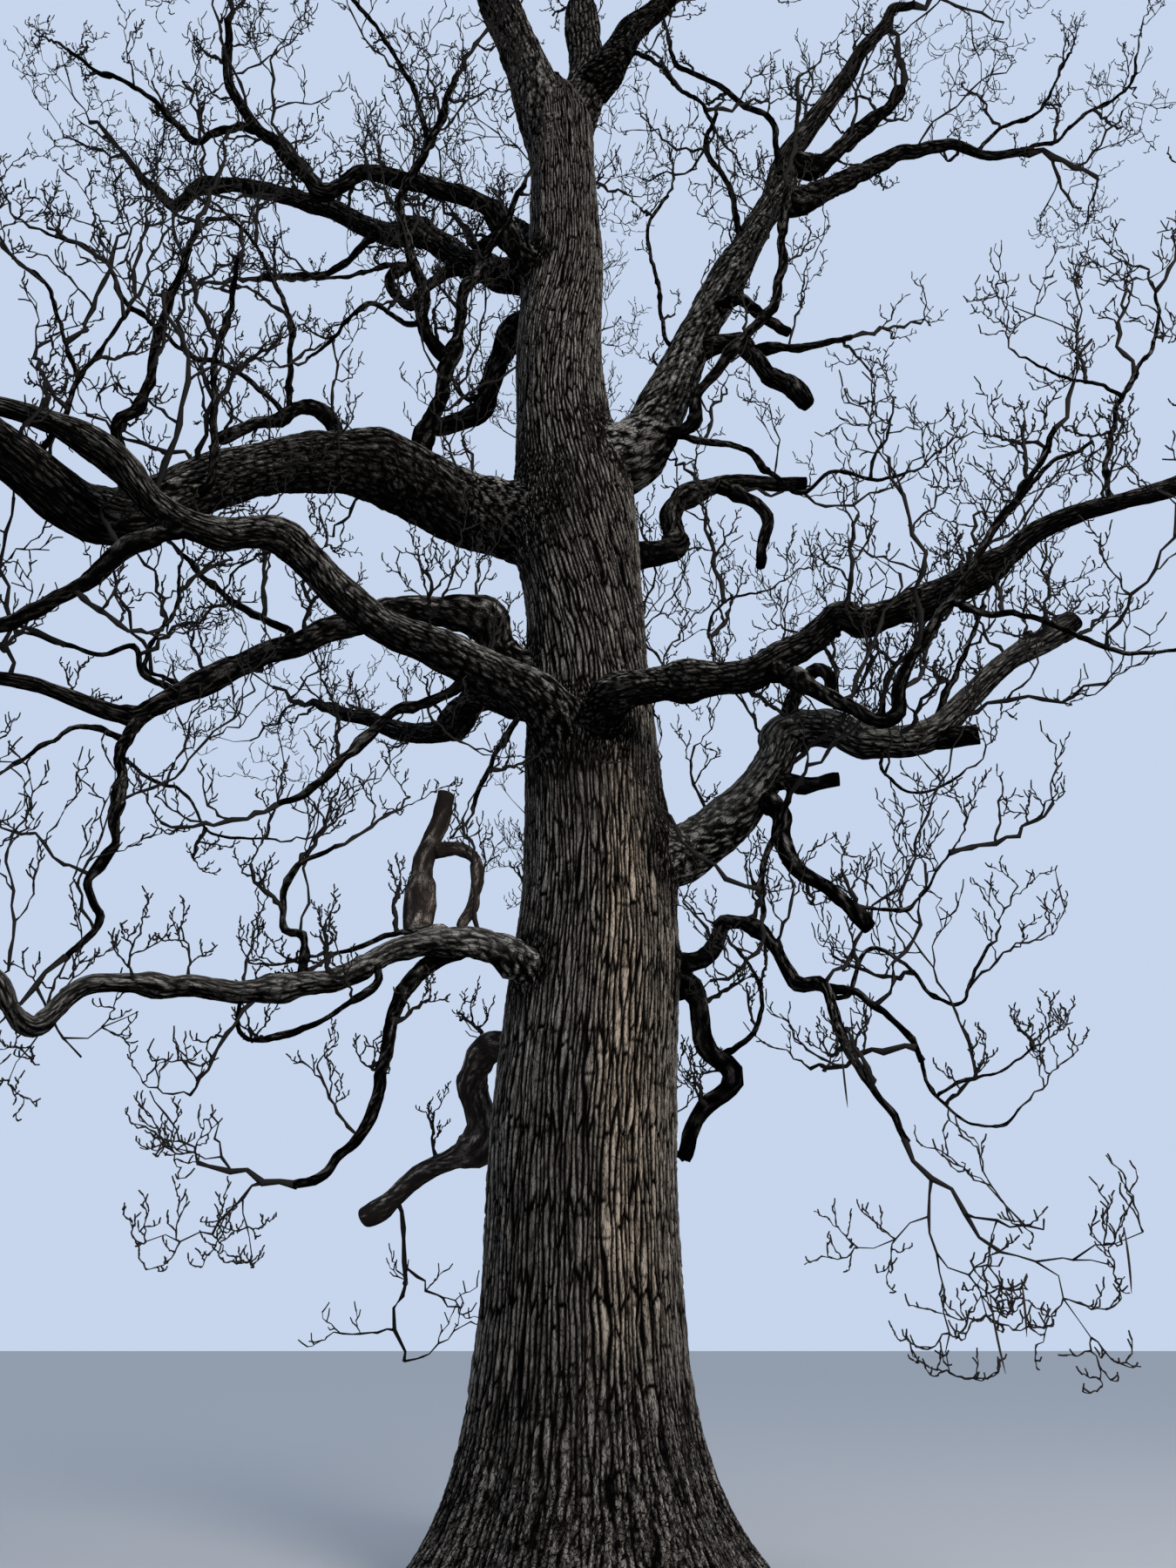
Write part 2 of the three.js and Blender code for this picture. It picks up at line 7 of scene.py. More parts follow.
import bpy
import numpy as np
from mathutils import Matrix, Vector


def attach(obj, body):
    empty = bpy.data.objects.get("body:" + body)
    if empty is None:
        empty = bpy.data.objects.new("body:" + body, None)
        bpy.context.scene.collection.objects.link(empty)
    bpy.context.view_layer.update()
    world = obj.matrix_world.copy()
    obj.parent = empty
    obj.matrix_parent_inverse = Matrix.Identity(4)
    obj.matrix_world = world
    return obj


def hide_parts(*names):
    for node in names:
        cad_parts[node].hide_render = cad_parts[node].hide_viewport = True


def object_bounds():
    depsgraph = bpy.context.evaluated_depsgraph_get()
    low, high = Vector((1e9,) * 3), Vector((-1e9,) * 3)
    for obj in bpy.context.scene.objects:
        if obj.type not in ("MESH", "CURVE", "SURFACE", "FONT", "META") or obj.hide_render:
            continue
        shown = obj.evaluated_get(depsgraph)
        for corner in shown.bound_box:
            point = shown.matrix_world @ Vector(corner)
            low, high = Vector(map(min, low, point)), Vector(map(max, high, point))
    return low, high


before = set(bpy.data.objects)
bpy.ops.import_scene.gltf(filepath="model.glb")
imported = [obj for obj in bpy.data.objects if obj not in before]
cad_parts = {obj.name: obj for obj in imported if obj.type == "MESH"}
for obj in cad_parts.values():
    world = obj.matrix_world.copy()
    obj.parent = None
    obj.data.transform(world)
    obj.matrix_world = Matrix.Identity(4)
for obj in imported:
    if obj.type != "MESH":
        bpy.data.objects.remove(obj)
CAD_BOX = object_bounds()
CLEARANCE = 0.00035  # gap between two limbs that meet

# Trunk: the width of its stem, its lean to the right and its depth as a share of the width.
TRUNK_TOP = 15.95
TRUNK_STATIONS = {
    # height: (width, lean, depth)
    0: (1.5, -0.04, 1),
    3.0: (1.46, -0.04, 1),
    4.4: (1.4, 0.07, 0.98),
    5.2: (1.26, 0.08, 0.98),
    7.0: (1.14, 0, 1),
    8.9: (1.12, -0.08, 1),
    10.0: (0.97, -0.27, 1),
    11.2: (0.93, -0.33, 1),
    12.5: (0.83, -0.25, 1),
    14.0: (0.78, -0.3, 1),
    14.9: (0.86, -0.36, 0.92),
    15.5: (1.1, -0.4, 0.72),
    TRUNK_TOP: (0.86, -0.42, 0.66),
}
FLARE_WIDTH = 1.1  # how much wider the root flare is than the stem, at the ground
FLARE_HEIGHT = 0.55
BUTTRESSES = 7
BUTTRESS_RELIEF = 0.07
BUTTRESS_HEIGHT = 1.1
TRUNK_STRETCH = 0.5

# Limbs. First what carries a limb and where it leaves, as a height on the trunk or a number of legs of
# another limb. Then its thickness there and at the tip, and its own legs of (length, heading, climb).
COLLAR = 0.3
SHOOT_GAP = 0.5


def limb(on, at, girth, tip, *legs, hold=1, collar=COLLAR, twigs=0, shoots=SHOOT_GAP):
    """twigs is the length of the mass beyond its tip, and shoots is from one side shoot to the next."""
    return SimpleNamespace(
        on=on, at=at, girth=girth, tip=tip, legs=legs, hold=hold, collar=collar, twigs=twigs, shoots=shoots,
    )


TOP_BOUGHS = {
    "left_leader": limb(
        "trunk", 15.2, 0.76, 0.12, (0.9, 178, 62), (1.2, 190, 72), (1.3, 165, 78), (1.2, 150, 62),
        (1, 200, 70), (0.9, 170, 60), collar=0, twigs=2.2,
    ),
    "right_leader": limb(
        "trunk", 15.2, 0.64, 0.1, (0.8, 20, 60), (1.1, 140, 85), (1, 100, 84), (1.1, 60, 70),
        (1, 20, 65), (0.9, 60, 75), collar=0, twigs=2.2,
    ),
    "top_right_bough": limb(
        "right_leader", 0.5, 0.38, 0.1, (0.5, 330, 15), (0.8, 342, 55), (1, 350, 50), (0.9, 10, 40),
        (0.9, 345, 50), twigs=2,
    ),
}
RIGHT_BOUGHS = {
    "right_limb": limb(
        "trunk", 9.55, 0.52, 0.1, (0.85, 0, 25), (1.95, 17, 69), (2.6, 16, 66), (1.2, 347, 69),
        (2.1, 350, 57), (0.9, 10, 51), hold=1.4, collar=0.45, twigs=2.4,
    ),
    "right_reach": limb(
        "right_limb", 3, 0.3, 0.11, (0.6, 12, 20), (1.3, 13, 47), (1.2, 12, 28), (0.5, 12, 19),
        (0.8, 8, 0), twigs=1.7, shoots=0.9,
    ),
    "knee_bough": limb(
        "trunk", 8.5, 0.3, 0.15, (0.8, 35, 20), (0.5, 20, 27), (0.5, 95, 78), (0.6, 20, 50),
        (0.7, 15, 22), (0.5, 6, 2),
    ),
    "right_bough": limb(
        "trunk", 6.15, 0.36, 0.09, (0.9, 280, 16), (0.6, 340, 5), (0.7, 347, 5), (0.7, 345, 30),
        (0.4, 342, -17), (1.4, 336, 20), (1, 330, 5), (1, 340, 25), twigs=2.2, shoots=0.8,
    ),
    "right_bough_fork": limb(
        "right_bough", 3, 0.14, 0.05, (0.6, 318, -42), (0.5, 331, -40), (0.2, 344, -12), (0.4, 321, 66),
        (1.7, 341, 53), (0.7, 350, 60), twigs=1.6,
    ),
    "broken_bough": limb(
        "trunk", 5.15, 0.46, 0.14, (0.9, 0, 17), (0.9, 348, 41), (0.4, 340, 62), (0.4, 343, 0),
        (0.3, 348, -30), (0.6, 351, 0), (0.7, 347, 42), (1, 353, 37), shoots=0.2,
    ),
    "upright_shoot": limb(
        "broken_bough", 6, 0.07, 0.04, (0.5, 340, 70), (0.5, 20, 60), (0.5, 350, 65), twigs=1.5,
    ),
    "low_right_bough": limb(
        "trunk", 4.35, 0.17, 0.05, (0.85, 355, 0), (0.4, 337, 55), (0.35, 332, -25), (0.55, 318, -58),
        (0.3, 326, -20), (0.7, 280, -62), (0.7, 325, -62), twigs=1.5,
    ),
    "low_back_stub": limb(
        "trunk", 4.25, 0.19, 0.14, (0.85, 20, 0), (0.5, 45, -70), (0.35, 15, -50), (0.5, 160, -50),
        (0.3, 151, -66),
    ),
}
LEFT_BOUGHS = {
    "great_left_bough": limb(
        "trunk", 8.75, 0.72, 0.44, (0.95, 180, 15), (0.4, 195, 9), (0.8, 209, 9), (0.9, 221, -28),
        (1, 231, -42), (0.8, 237, -50), shoots=0.35,
    ),
    "great_left_reach": limb(
        "great_left_bough", 6, 0.44, 0.14, (0.3, 237, -50), (0.4, 237, -28), (0.7, 244, 2),
        (0.9, 240, 10), (1, 225, 25), (1, 215, 40), (0.9, 205, 35), twigs=2.4,
    ),
    "great_left_riser": limb(
        "great_left_bough", 2.5, 0.17, 0.06, (0.55, 306, 76), (0.55, 330, 70), (0.85, 342, 79),
        (0.4, 294, 81), (1, 0, 70), (0.7, 0, 70), twigs=2, shoots=0.3,
    ),
    "left_bough": limb(
        "trunk", 6.15, 0.44, 0.09, (0.9, 241, 16), (0.55, 208, 15), (0.9, 212, 9), (1, 219, 25),
        (0.6, 216, -25), (0.5, 219, 8), (0.5, 228, 30), (0.6, 205, 15), (1.2, 215, -10), twigs=2,
    ),
    "left_bough_fork": limb(
        "left_bough", 5.5, 0.16, 0.06, (0.5, 200, -40), (0.5, 185, -45), (0.6, 185, -35),
        (0.8, 190, -10), twigs=1.6,
    ),
    "second_left_bough": limb(
        "trunk", 6.95, 0.33, 0.08, (0.8, 188, 19), (0.45, 217, 43), (0.7, 200, -8), (0.4, 207, -29),
        (1.9, 206, -36), (0.3, 203, -32), (0.9, 200, 0), (0.9, 190, 10), twigs=2,
    ),
    "second_left_drop": limb(
        "second_left_bough", 5, 0.11, 0.05, (0.5, 208, -66), (0.85, 310, -80), (0.4, 222, -68),
        (0.35, 344, -57), (0.4, 221, -60), twigs=1.3,
    ),
    "upper_left_bough": limb(
        "trunk", 12.3, 0.38, 0.1, (0.85, 165, 18), (0.9, 168, 40), (0.55, 164, 50), (0.45, 174, 0),
        (1.7, 172, 32), (0.9, 170, 22), (0.6, 170, -26), (1.1, 172, 53), twigs=2, shoots=0.25,
    ),
    "upper_left_fork": limb(
        "trunk", 12.1, 0.26, 0.08, (0.7, 213, 21), (0.35, 197, 59), (0.55, 193, 34), (1, 192, 5),
        (0.4, 190, -40), (0.3, 190, -2), (1.6, 192, 54), (1, 212, 79), twigs=2, shoots=0.25,
    ),
    "back_left_stub": limb(
        "trunk", 11.8, 0.3, 0.19, (0.7, 144, 0), (0.7, 160, -65), (0.35, 141, -62), (0.65, 162, -2),
    ),
    "low_left_bough": limb(
        "trunk", 4, 0.27, 0.07, (0.95, 217, 15), (0.5, 210, -5), (0.45, 206, -12), (0.7, 211, -31),
        (1.3, 212, -7), (0.55, 217, -40), (0.5, 220, 40), (0.7, 200, 25), twigs=1.6,
    ),
    "low_left_drop": limb(
        "low_left_bough", 1.5, 0.14, 0.06, (0.4, 190, -27), (0.35, 213, -58), (0.8, 256, -78),
        (0.6, 206, -55), (0.2, 196, -14), twigs=1.1,
    ),
    "dead_left_limb": limb(
        "trunk", 3.5, 0.26, 0.16, (1, 148, 15), (0.4, 137, -37), (0.4, 50, -63), (0.2, 138, -69),
        (0.4, 155, -26), (0.75, 158, -27),
    ),
}
BACK_BOUGHS = {
    "back_low_bough": limb(
        "trunk", 5.6, 0.4, 0.09, (1.1, 100, 12), (0.8, 85, 30), (0.9, 110, 10), (1, 95, -10),
        (1, 80, 25), (0.9, 95, 35), twigs=2.2,
    ),
    "back_left_bough": limb(
        "trunk", 7, 0.44, 0.1, (1, 122, 15), (0.9, 140, 25), (1, 120, 5), (1.1, 135, 20),
        (1.1, 145, 35), (0.9, 130, 25), twigs=2.4,
    ),
    "back_right_bough": limb(
        "trunk", 7.4, 0.36, 0.09, (1, 70, 18), (0.9, 85, 35), (1, 60, 10), (1, 50, 25), (0.9, 35, 40),
        twigs=2.2,
    ),
    "back_middle_bough": limb(
        "trunk", 9.6, 0.38, 0.09, (0.9, 100, 20), (0.9, 85, 45), (1, 105, 20), (1.1, 90, 40),
        (0.9, 100, 55), twigs=2.2,
    ),
    "back_high_bough": limb(
        "trunk", 11.2, 0.32, 0.09, (0.8, 88, 25), (0.9, 84, 50), (1, 96, 25), (1, 86, 45),
        (0.9, 94, 60), twigs=2.2,
    ),
    "back_top_left_bough": limb(
        "trunk", 13.2, 0.28, 0.08, (0.7, 122, 30), (0.9, 135, 50), (1, 120, 30), (1, 130, 60),
        twigs=2.2, shoots=0.25,
    ),
    "back_top_right_bough": limb(
        "trunk", 14.2, 0.28, 0.08, (0.7, 86, 30), (0.9, 80, 50), (1, 92, 35), (1, 82, 60), twigs=2.2,
    ),
}
# Branches that are too slight for the solids.
BRANCHES = {
    "right_front_branch": limb(
        "right_limb", 1, 0.14, 0.08, (0.58, 325, -8), (0.38, 315, 70), (0.72, 347, 50), (0.57, 351, 54),
        (0.65, 335, 79), (1.14, 0, 82), twigs=1.3, collar=0.5,
    ),
    "right_limb_fork": limb(
        "right_limb", 3.7, 0.25, 0.12, (0.31, 10, -20), (1.04, 9, 50), (0.68, 12, 45), (0.48, 0, 67),
        twigs=1.3, shoots=0.22,
    ),
    "crooked_stub": limb(
        "right_limb", 2.1, 0.13, 0.11, (0.45, 309, -19), (0.36, 334, -50), (0.24, 336, -59),
        (0.28, 345, -46), shoots=0,
    ),
    "crooked_spur": limb(
        "right_limb", 1.8, 0.21, 0.15, (0.56, 344, -1), (0.33, 345, -54), (0.38, 331, -74),
        (0.27, 0, -36), (0.26, 0, -51), shoots=0,
    ),
    "crooked_branch": limb(
        "crooked_spur", 1.7, 0.12, 0.06, (0.19, 13, 23), (0.32, 0, 0), (0.38, 0, 11), (0.27, 13, 32),
        twigs=1,
    ),
    "knee_hook": limb(
        "knee_bough", 4.2, 0.15, 0.12, (0.29, 330, -46), (0.29, 347, -42), (0.24, 0, -71),
        (0.54, 180, -81), shoots=0,
    ),
    "right_bough_droop": limb(
        "right_bough_fork", 4.4, 0.06, 0.03, (0.31, 329, -43), (0.24, 348, -8), (0.47, 353, -29),
        (0.33, 350, -34), (0.33, 351, 0), twigs=0.8,
    ),
    "broken_drop": limb(
        "broken_bough", 1.7, 0.19, 0.1, (0.34, 308, -43), (0.42, 273, -62), (0.31, 310, -65),
        (0.31, 323, -37), (0.5, 329, -54),
    ),
    "low_right_reach": limb(
        "low_right_bough", 5, 0.07, 0.04, (0.27, 3, -18), (0.4, 350, -45), (0.26, 303, -63), twigs=0.9,
    ),
    "great_left_twin": limb(
        "great_left_riser", 2.4, 0.14, 0.07, (0.4, 215, 30), (0.5, 260, 79), (1.1, 200, 75),
        (0.35, 0, 89), (0.75, 0, 71), (1.15, 0, 78), twigs=1.4, shoots=0.3,
    ),
    "elbow_stub": limb(
        "great_left_bough", 3.2, 0.17, 0.1, (0.34, 186, 53), (0.29, 198, 56), (0.19, 216, 23),
        (0.21, 215, -34), (0.25, 215, -69), (0.26, 211, -40), (0.46, 219, -46),
    ),
    "front_riser": limb(
        "great_left_bough", 5.6, 0.08, 0.04, (0.32, 332, -10), (0.29, 289, 69), (0.8, 250, 78),
        (0.7, 322, 83), (0.4, 280, 82), twigs=1,
    ),
    "far_left_riser": limb(
        "great_left_reach", 1, 0.11, 0.05, (0.63, 264, 47), (0.26, 0, 59), (0.34, 0, 85),
        (0.58, 313, 76), (0.78, 325, 77), twigs=1,
    ),
    "upper_left_curl": limb(
        "upper_left_bough", 1.5, 0.14, 0.1, (0.6, 193, -50), (0.47, 205, -60), (0.42, 180, 57),
        (0.4, 13, 56), shoots=0,
    ),
    "upper_left_reach": limb(
        "upper_left_fork", 6.6, 0.09, 0.04, (0.25, 172, -3), (0.22, 175, -11), (0.3, 189, -28),
        (0.74, 185, 49), (0.49, 185, 39), (0.36, 175, 29), (0.5, 186, 40), twigs=0.7,
    ),
    "left_bough_drop": limb(
        "left_bough", 2.2, 0.1, 0.05, (0.24, 190, -68), (0.6, 190, -31), (0.44, 202, -52),
        (0.54, 198, -53), (0.25, 209, -34), twigs=0.9,
    ),
    "second_left_branch": limb(
        "second_left_bough", 4.4, 0.08, 0.05, (0.25, 150, 61), (0.44, 180, 30), (0.43, 180, 39),
        (0.45, 180, 47), twigs=0.9,
    ),
    "upright_spar": limb(
        "low_left_bough", 2, 0.19, 0.17, (0.43, 124, 32), (0.34, 104, 72), (0.3, 122, 79),
        (0.28, 45, 75), (0.45, 0, 76), shoots=0,
    ),
    "spar_hook": limb(
        "upright_spar", 3.6, 0.11, 0.09, (0.3, 0, 10), (0.22, 355, -50), (0.32, 190, -85),
        (0.33, 200, -75), shoots=0,
    ),
    "right_reach_tip": limb(
        "right_reach", 4.1, 0.058, 0.037, (0.6, 7, 48), (0.67, 5, 34), (0.92, 7, 62), (0.71, 9, 64),
        twigs=0.6, shoots=1,
    ),
    "right_limb_riser": limb(
        "right_limb", 3.3, 0.096, 0.055, (0.18, 232, -45), (0.91, 259, 85), (0.38, 195, 31),
        (0.43, 194, 41), (0.64, 188, 27), (0.47, 218, 74), twigs=1,
    ),
    "right_limb_spray": limb(
        "right_limb", 2.7, 0.093, 0.054, (0.24, 207, -24), (0.74, 216, 83), (0.44, 192, 60),
        (0.3, 218, 74), (0.47, 340, 71), twigs=0.9,
    ),
    "right_limb_whip": limb(
        "right_limb", 1.8, 0.057, 0.04, (0.18, 215, -16), (0.2, 213, 47), (0.81, 223, 82),
        (0.63, 221, 80), (0.51, 342, 61), twigs=0.6, shoots=1,
    ),
    "top_right_drop": limb(
        "top_right_bough", 1.5, 0.064, 0.039, (0.23, 275, -65), (0.51, 347, -46), (0.61, 342, -67),
        (0.49, 344, -55), (0.56, 328, -76), twigs=0.7,
    ),
    "under_limb_reach": limb(
        "right_limb", 1.2, 0.08, 0.033, (0.49, 335, -44), (0.58, 348, -23), (0.5, 338, -56),
        (0.41, 335, -50), (0.34, 339, 29), (0.45, 345, -26), (0.24, 332, -4), twigs=0.6, shoots=1,
    ),
    "right_bough_riser": limb(
        "right_bough_fork", 4.9, 0.052, 0.03, (0.53, 0, 48), (0.26, 11, 35), (0.26, 9, 38), twigs=0.6,
        shoots=0.9,
    ),
    "right_reach_end": limb(
        "right_reach", 4.8, 0.06, 0.03, (0.26, 337, 3), (0.23, 338, -15), (0.25, 334, 43),
        (0.35, 341, 35), (0.37, 348, 23), (0.4, 354, 48), (0.48, 322, 70), twigs=0.7,
    ),
    "broken_stub": limb("broken_bough", 5.9, 0.2, 0.16, (0.23, 351, 4), (0.18, 341, 3), shoots=0),
    "broken_crook": limb(
        "broken_bough", 3.1, 0.13, 0.1, (0.27, 259, 36), (0.22, 314, 57), (0.18, 321, 31),
        (0.14, 318, -46), (0.22, 102, -78), shoots=0,
    ),
    "broken_spur": limb("broken_bough", 1.9, 0.15, 0.12, (0.4, 320, -18), (0.3, 340, -4), shoots=0),
    "right_tip_riser": limb(
        "right_bough", 6.5, 0.054, 0.031, (0.27, 89, 68), (0.6, 19, 72), (0.52, 16, 66), (0.63, 10, 56),
        (0.55, 14, 65), (0.48, 48, 80), twigs=0.8,
    ),
    "right_tip_spray": limb(
        "right_tip_riser", 3, 0.036, 0.023, (0.28, 140, 56), (0.28, 156, 31), (0.43, 157, 53),
        twigs=0.7,
    ),
    "twin_fork": limb(
        "great_left_twin", 4.9, 0.066, 0.05, (0.94, 214, 71), (0.74, 190, 62), (0.62, 191, 56),
        twigs=1.2,
    ),
    "twin_arch": limb(
        "great_left_twin", 1.2, 0.061, 0.033, (0.2, 215, -30), (0.37, 194, 31), (0.36, 200, -54),
        (0.42, 208, -67), (0.34, 203, -56), twigs=0.7,
    ),
    "upper_left_drop": limb(
        "upper_left_bough", 4.1, 0.1, 0.07, (0.31, 252, -70), (0.61, 192, -59), (0.47, 189, -27),
        (0.44, 189, -16), twigs=0.8,
    ),
    "curl_reach": limb(
        "upper_left_curl", 3.9, 0.059, 0.038, (0.38, 212, -34), (0.42, 191, -33), (0.42, 189, -14),
        twigs=0.8,
    ),
    "elbow_riser": limb(
        "elbow_stub", 4.3, 0.066, 0.035, (0.58, 266, 72), (0.35, 260, 78), (0.96, 190, 65),
        (0.47, 194, 48), twigs=0.9,
    ),
    "elbow_arch": limb(
        "elbow_stub", 4.7, 0.057, 0.034, (0.37, 213, 37), (0.45, 189, 31), (0.22, 198, -5),
        (0.39, 192, 38), (0.5, 189, 42), (0.5, 195, 60), (0.24, 198, 37), (0.44, 189, 18), twigs=0.9,
    ),
    "leftmost_riser": limb(
        "great_left_reach", 2.8, 0.043, 0.033, (0.36, 334, 52), (0.41, 357, 81), (0.31, 0, 69),
        (0.42, 0, 71), twigs=0.9,
    ),
    "leftmost_fork": limb(
        "leftmost_riser", 2, 0.038, 0.026, (0.58, 188, 67), (0.35, 194, 66), (0.35, 188, 43), twigs=0.9,
    ),
    "stub_riser": limb(
        "back_left_stub", 2.4, 0.058, 0.041, (0.23, 180, 9), (0.46, 169, 67), (0.36, 166, 68),
        (0.48, 156, 80), twigs=0.7,
    ),
    "low_right_spray": limb(
        "low_right_bough", 5.2, 0.04, 0.029, (0.18, 35, 13), (0.36, 22, 65), (0.21, 16, 14),
        (0.27, 15, -34), (0.23, 22, -48), (0.23, 14, -12), (0.33, 18, 55), (0.31, 17, 52), twigs=0.6,
    ),
    "low_right_fan": limb(
        "low_right_reach", 3, 0.032, 0.019, (0.27, 338, -75), (0.27, 353, -45), (0.22, 353, -8),
        (0.18, 350, 36), twigs=0.6,
    ),
    "low_right_tip": limb(
        "low_right_fan", 1, 0.025, 0.019, (0.19, 9, 29), (0.22, 6, 16), (0.24, 7, 22), (0.28, 6, 32),
        twigs=0.5,
    ),
    "broken_drop_spray": limb(
        "broken_drop", 4.5, 0.034, 0.02, (0.29, 344, -14), (0.18, 346, -4), (0.19, 342, 48),
        (0.39, 350, 51), twigs=0.5,
    ),
    "broken_hanger": limb(
        "broken_bough", 2, 0.066, 0.048, (0.44, 290, -44), (0.59, 204, -65), (0.31, 227, -63),
        (0.4, 258, -76), twigs=0.8,
    ),
    "broken_under_twig": limb(
        "broken_bough", 5.3, 0.037, 0.021, (0.41, 242, -56), (0.27, 338, -50), (0.19, 338, -22),
        (0.33, 347, 27), twigs=0.6,
    ),
    "broken_riser": limb(
        "broken_bough", 5.2, 0.069, 0.041, (0.25, 66, 64), (0.59, 20, 71), (0.35, 18, 53),
        (0.37, 20, 56), twigs=0.9,
    ),
    "broken_back_riser": limb(
        "broken_bough", 4, 0.047, 0.033, (0.38, 70, 56), (0.41, 42, 76), (0.3, 127, 74),
        (0.23, 151, 51), twigs=0.7,
    ),
    "right_bough_spray": limb(
        "right_bough", 2.4, 0.036, 0.023, (0.19, 69, 56), (0.45, 99, 86), (0.28, 13, 54), (0.3, 7, 22),
        twigs=0.7,
    ),
    "low_stub_riser": limb(
        "low_back_stub", 2.4, 0.059, 0.03, (0.37, 356, 31), (0.31, 344, 71), (0.24, 200, 72),
        (0.31, 187, 51), twigs=0.6,
    ),
    "second_left_curl": limb(
        "second_left_bough", 4.9, 0.062, 0.027, (0.29, 212, 13), (0.25, 207, 64), (0.27, 205, -28),
        (0.3, 190, 12), (0.26, 191, 13), twigs=0.7,
    ),
    "second_left_link": limb(
        "second_left_bough", 4.9, 0.042, 0.03, (0.17, 116, 47), (0.31, 176, 25), (0.29, 136, 82),
        (0.41, 10, 70), (0.42, 150, 84), twigs=0.7,
    ),
    "drop_reach": limb(
        "second_left_drop", 1, 0.053, 0.032, (0.34, 205, 12), (0.24, 192, -36), (0.33, 202, -49),
        twigs=0.7,
    ),
    "drop_twig": limb(
        "second_left_drop", 1.2, 0.034, 0.02, (0.3, 35, -29), (0.21, 14, -10), (0.42, 11, -51),
        (0.47, 6, -4), twigs=0.6,
    ),
    "left_hanger": limb(
        "left_bough", 1.1, 0.07, 0.044, (0.54, 107, 13), (0.16, 204, -57), (0.43, 191, -66),
        (0.46, 193, -71), twigs=0.8,
    ),
    "low_left_twin": limb(
        "low_left_bough", 1.7, 0.06, 0.033, (0.33, 203, 15), (0.24, 186, -5), (0.22, 187, -24),
        (0.26, 186, -14), twigs=0.6,
    ),
    "low_left_riser": limb(
        "low_left_bough", 4, 0.069, 0.04, (0.18, 180, 88), (0.25, 131, 78), (0.16, 164, 21),
        (0.3, 149, 75), (0.28, 23, 69), (0.29, 9, 32), twigs=0.8,
    ),
    "low_left_loop": limb(
        "low_left_bough", 3.2, 0.057, 0.031, (0.22, 311, -53), (0.3, 185, -40), (0.38, 184, -32),
        (0.29, 184, -11), (0.16, 188, 37), (0.22, 277, 85), twigs=0.6,
    ),
}
LIMB_SEED, LIMB_SEED_STEP = 40, 10
HIGH_FROM = 8  # limbs that leave the trunk above this are the high ones of their side
LEADERS = ["left_leader", "right_leader"]
DEAD_LIMBS = ["dead_left_limb", "upright_spar", "spar_hook"]
SPLIT_LIMBS = {"great_left_reach": "great_left_bough"}  # one limb in life, in two solids

# Twigs. The first three orders of a mass are those of the solids, and the rest are finer.
THINNEST = 0.0075
STEM_SHARE = 0.62
STEM_GIRTH = 0.9
TWIG_TAPER = 0.55
BLUNT_TAPER = 0.8  # of the finest twigs, which end in stout tips
STEM_ROOT = 0.03  # how far inside its limb's end a mass begins
FORK_VARY = 0.3
SPREAD_VARY = 20
FORK_TURN = 137.5
TURN_VARY = 60
FEWEST_POINTS = 3
SEEDS_A_TWIG = 8
SPACE_CENTRE = 0.5
SPACE_RADIUS = 0.75
TWIG_ROOM = 0.03
GROUND_ROOM = 0.3
TWIG_CROOK = 0.2  # how far a twig zigzags between two forks, as a share of that stretch
NODE_SWELLING = 0.2


def order(steps, wander=0.55, rise=0.3, length=0.8, girth=0.62, spread=52, first=1, pairs=False):
    """How the twigs of one order grow: in so many steps, swinging about by wander and turning up by rise.
    From the first fork on they carry twigs of that share of their length and girth, at that spread."""
    return SimpleNamespace(
        steps=steps, wander=wander, rise=rise, length=length, girth=girth, spread=spread,
        first=first, pairs=pairs,
    )


MASS_ORDERS = [
    order(3),
    order(3),
    order(2, length=0.6, girth=0.75, pairs=True),
    order(4, wander=0.9, rise=0.7, length=0.46, girth=0.75),
    order(3, wander=1.0, rise=1.0, length=0.42, girth=0.8, first=2),
    order(2, wander=1.0, rise=1.0),
]
SHOOT_ORDERS = [
    order(5, wander=0.8, rise=0.8, length=0.46, girth=0.66, first=2),
    order(4, wander=0.9, rise=0.9, length=0.42, girth=0.75, first=2),
    order(3, wander=1.0, rise=1.0, length=0.42, girth=0.8),
    order(2, wander=1.0, rise=1.0),
]
SHOOT_LENGTH = (0.35, 1.5)
SHOOT_RADIUS = (0.011, 0.027)
SHOOT_RISE = 0.6
SHOOT_FORWARD = 0.35
SHOOT_TURN = 0.6  # radians either way
SHOOT_GAPS = (0.6, 1.4)  # as shares of the limb's own gap between two shoots
SHOOTS_PAST_BARK = 0.35
SHOOTS_FROM = 0.2  # the share of a limb before its first shoot
TIP_SHARE = 0.45  # the radius of the shoot that carries on a slight branch, as a share of its tip
SHOOT_SEEDS = 1000
MASS_WOBBLE, SHOOT_DICE = 11, 23  # seeds
TUBE_SIDES = [5, 4, 3]  # of the first orders of twigs, and then of all the rest
ORDERS_A_TINT = 2
PODS = 7
POD_ORDERS = {"shoots": 2, "twigs": 4}  # they hang from the twigs of these orders and finer
POD_LENGTH = (0.3, 0.45)
POD_RADIUS = 0.0075
POD_GIRTHS = [0.5, 0.6, 0.9, 1, 1, 0.95, 0.7, 0.2]
POD_SIDES = 8
POD_SWAY = 0.04
PODS_FROM = 1.4  # how far to the right of the trunk the pods begin
POD_BEARERS = ["low_right_bough", "low_right_reach", "low_right_spray", "broken_hanger", "low_right_fan"]

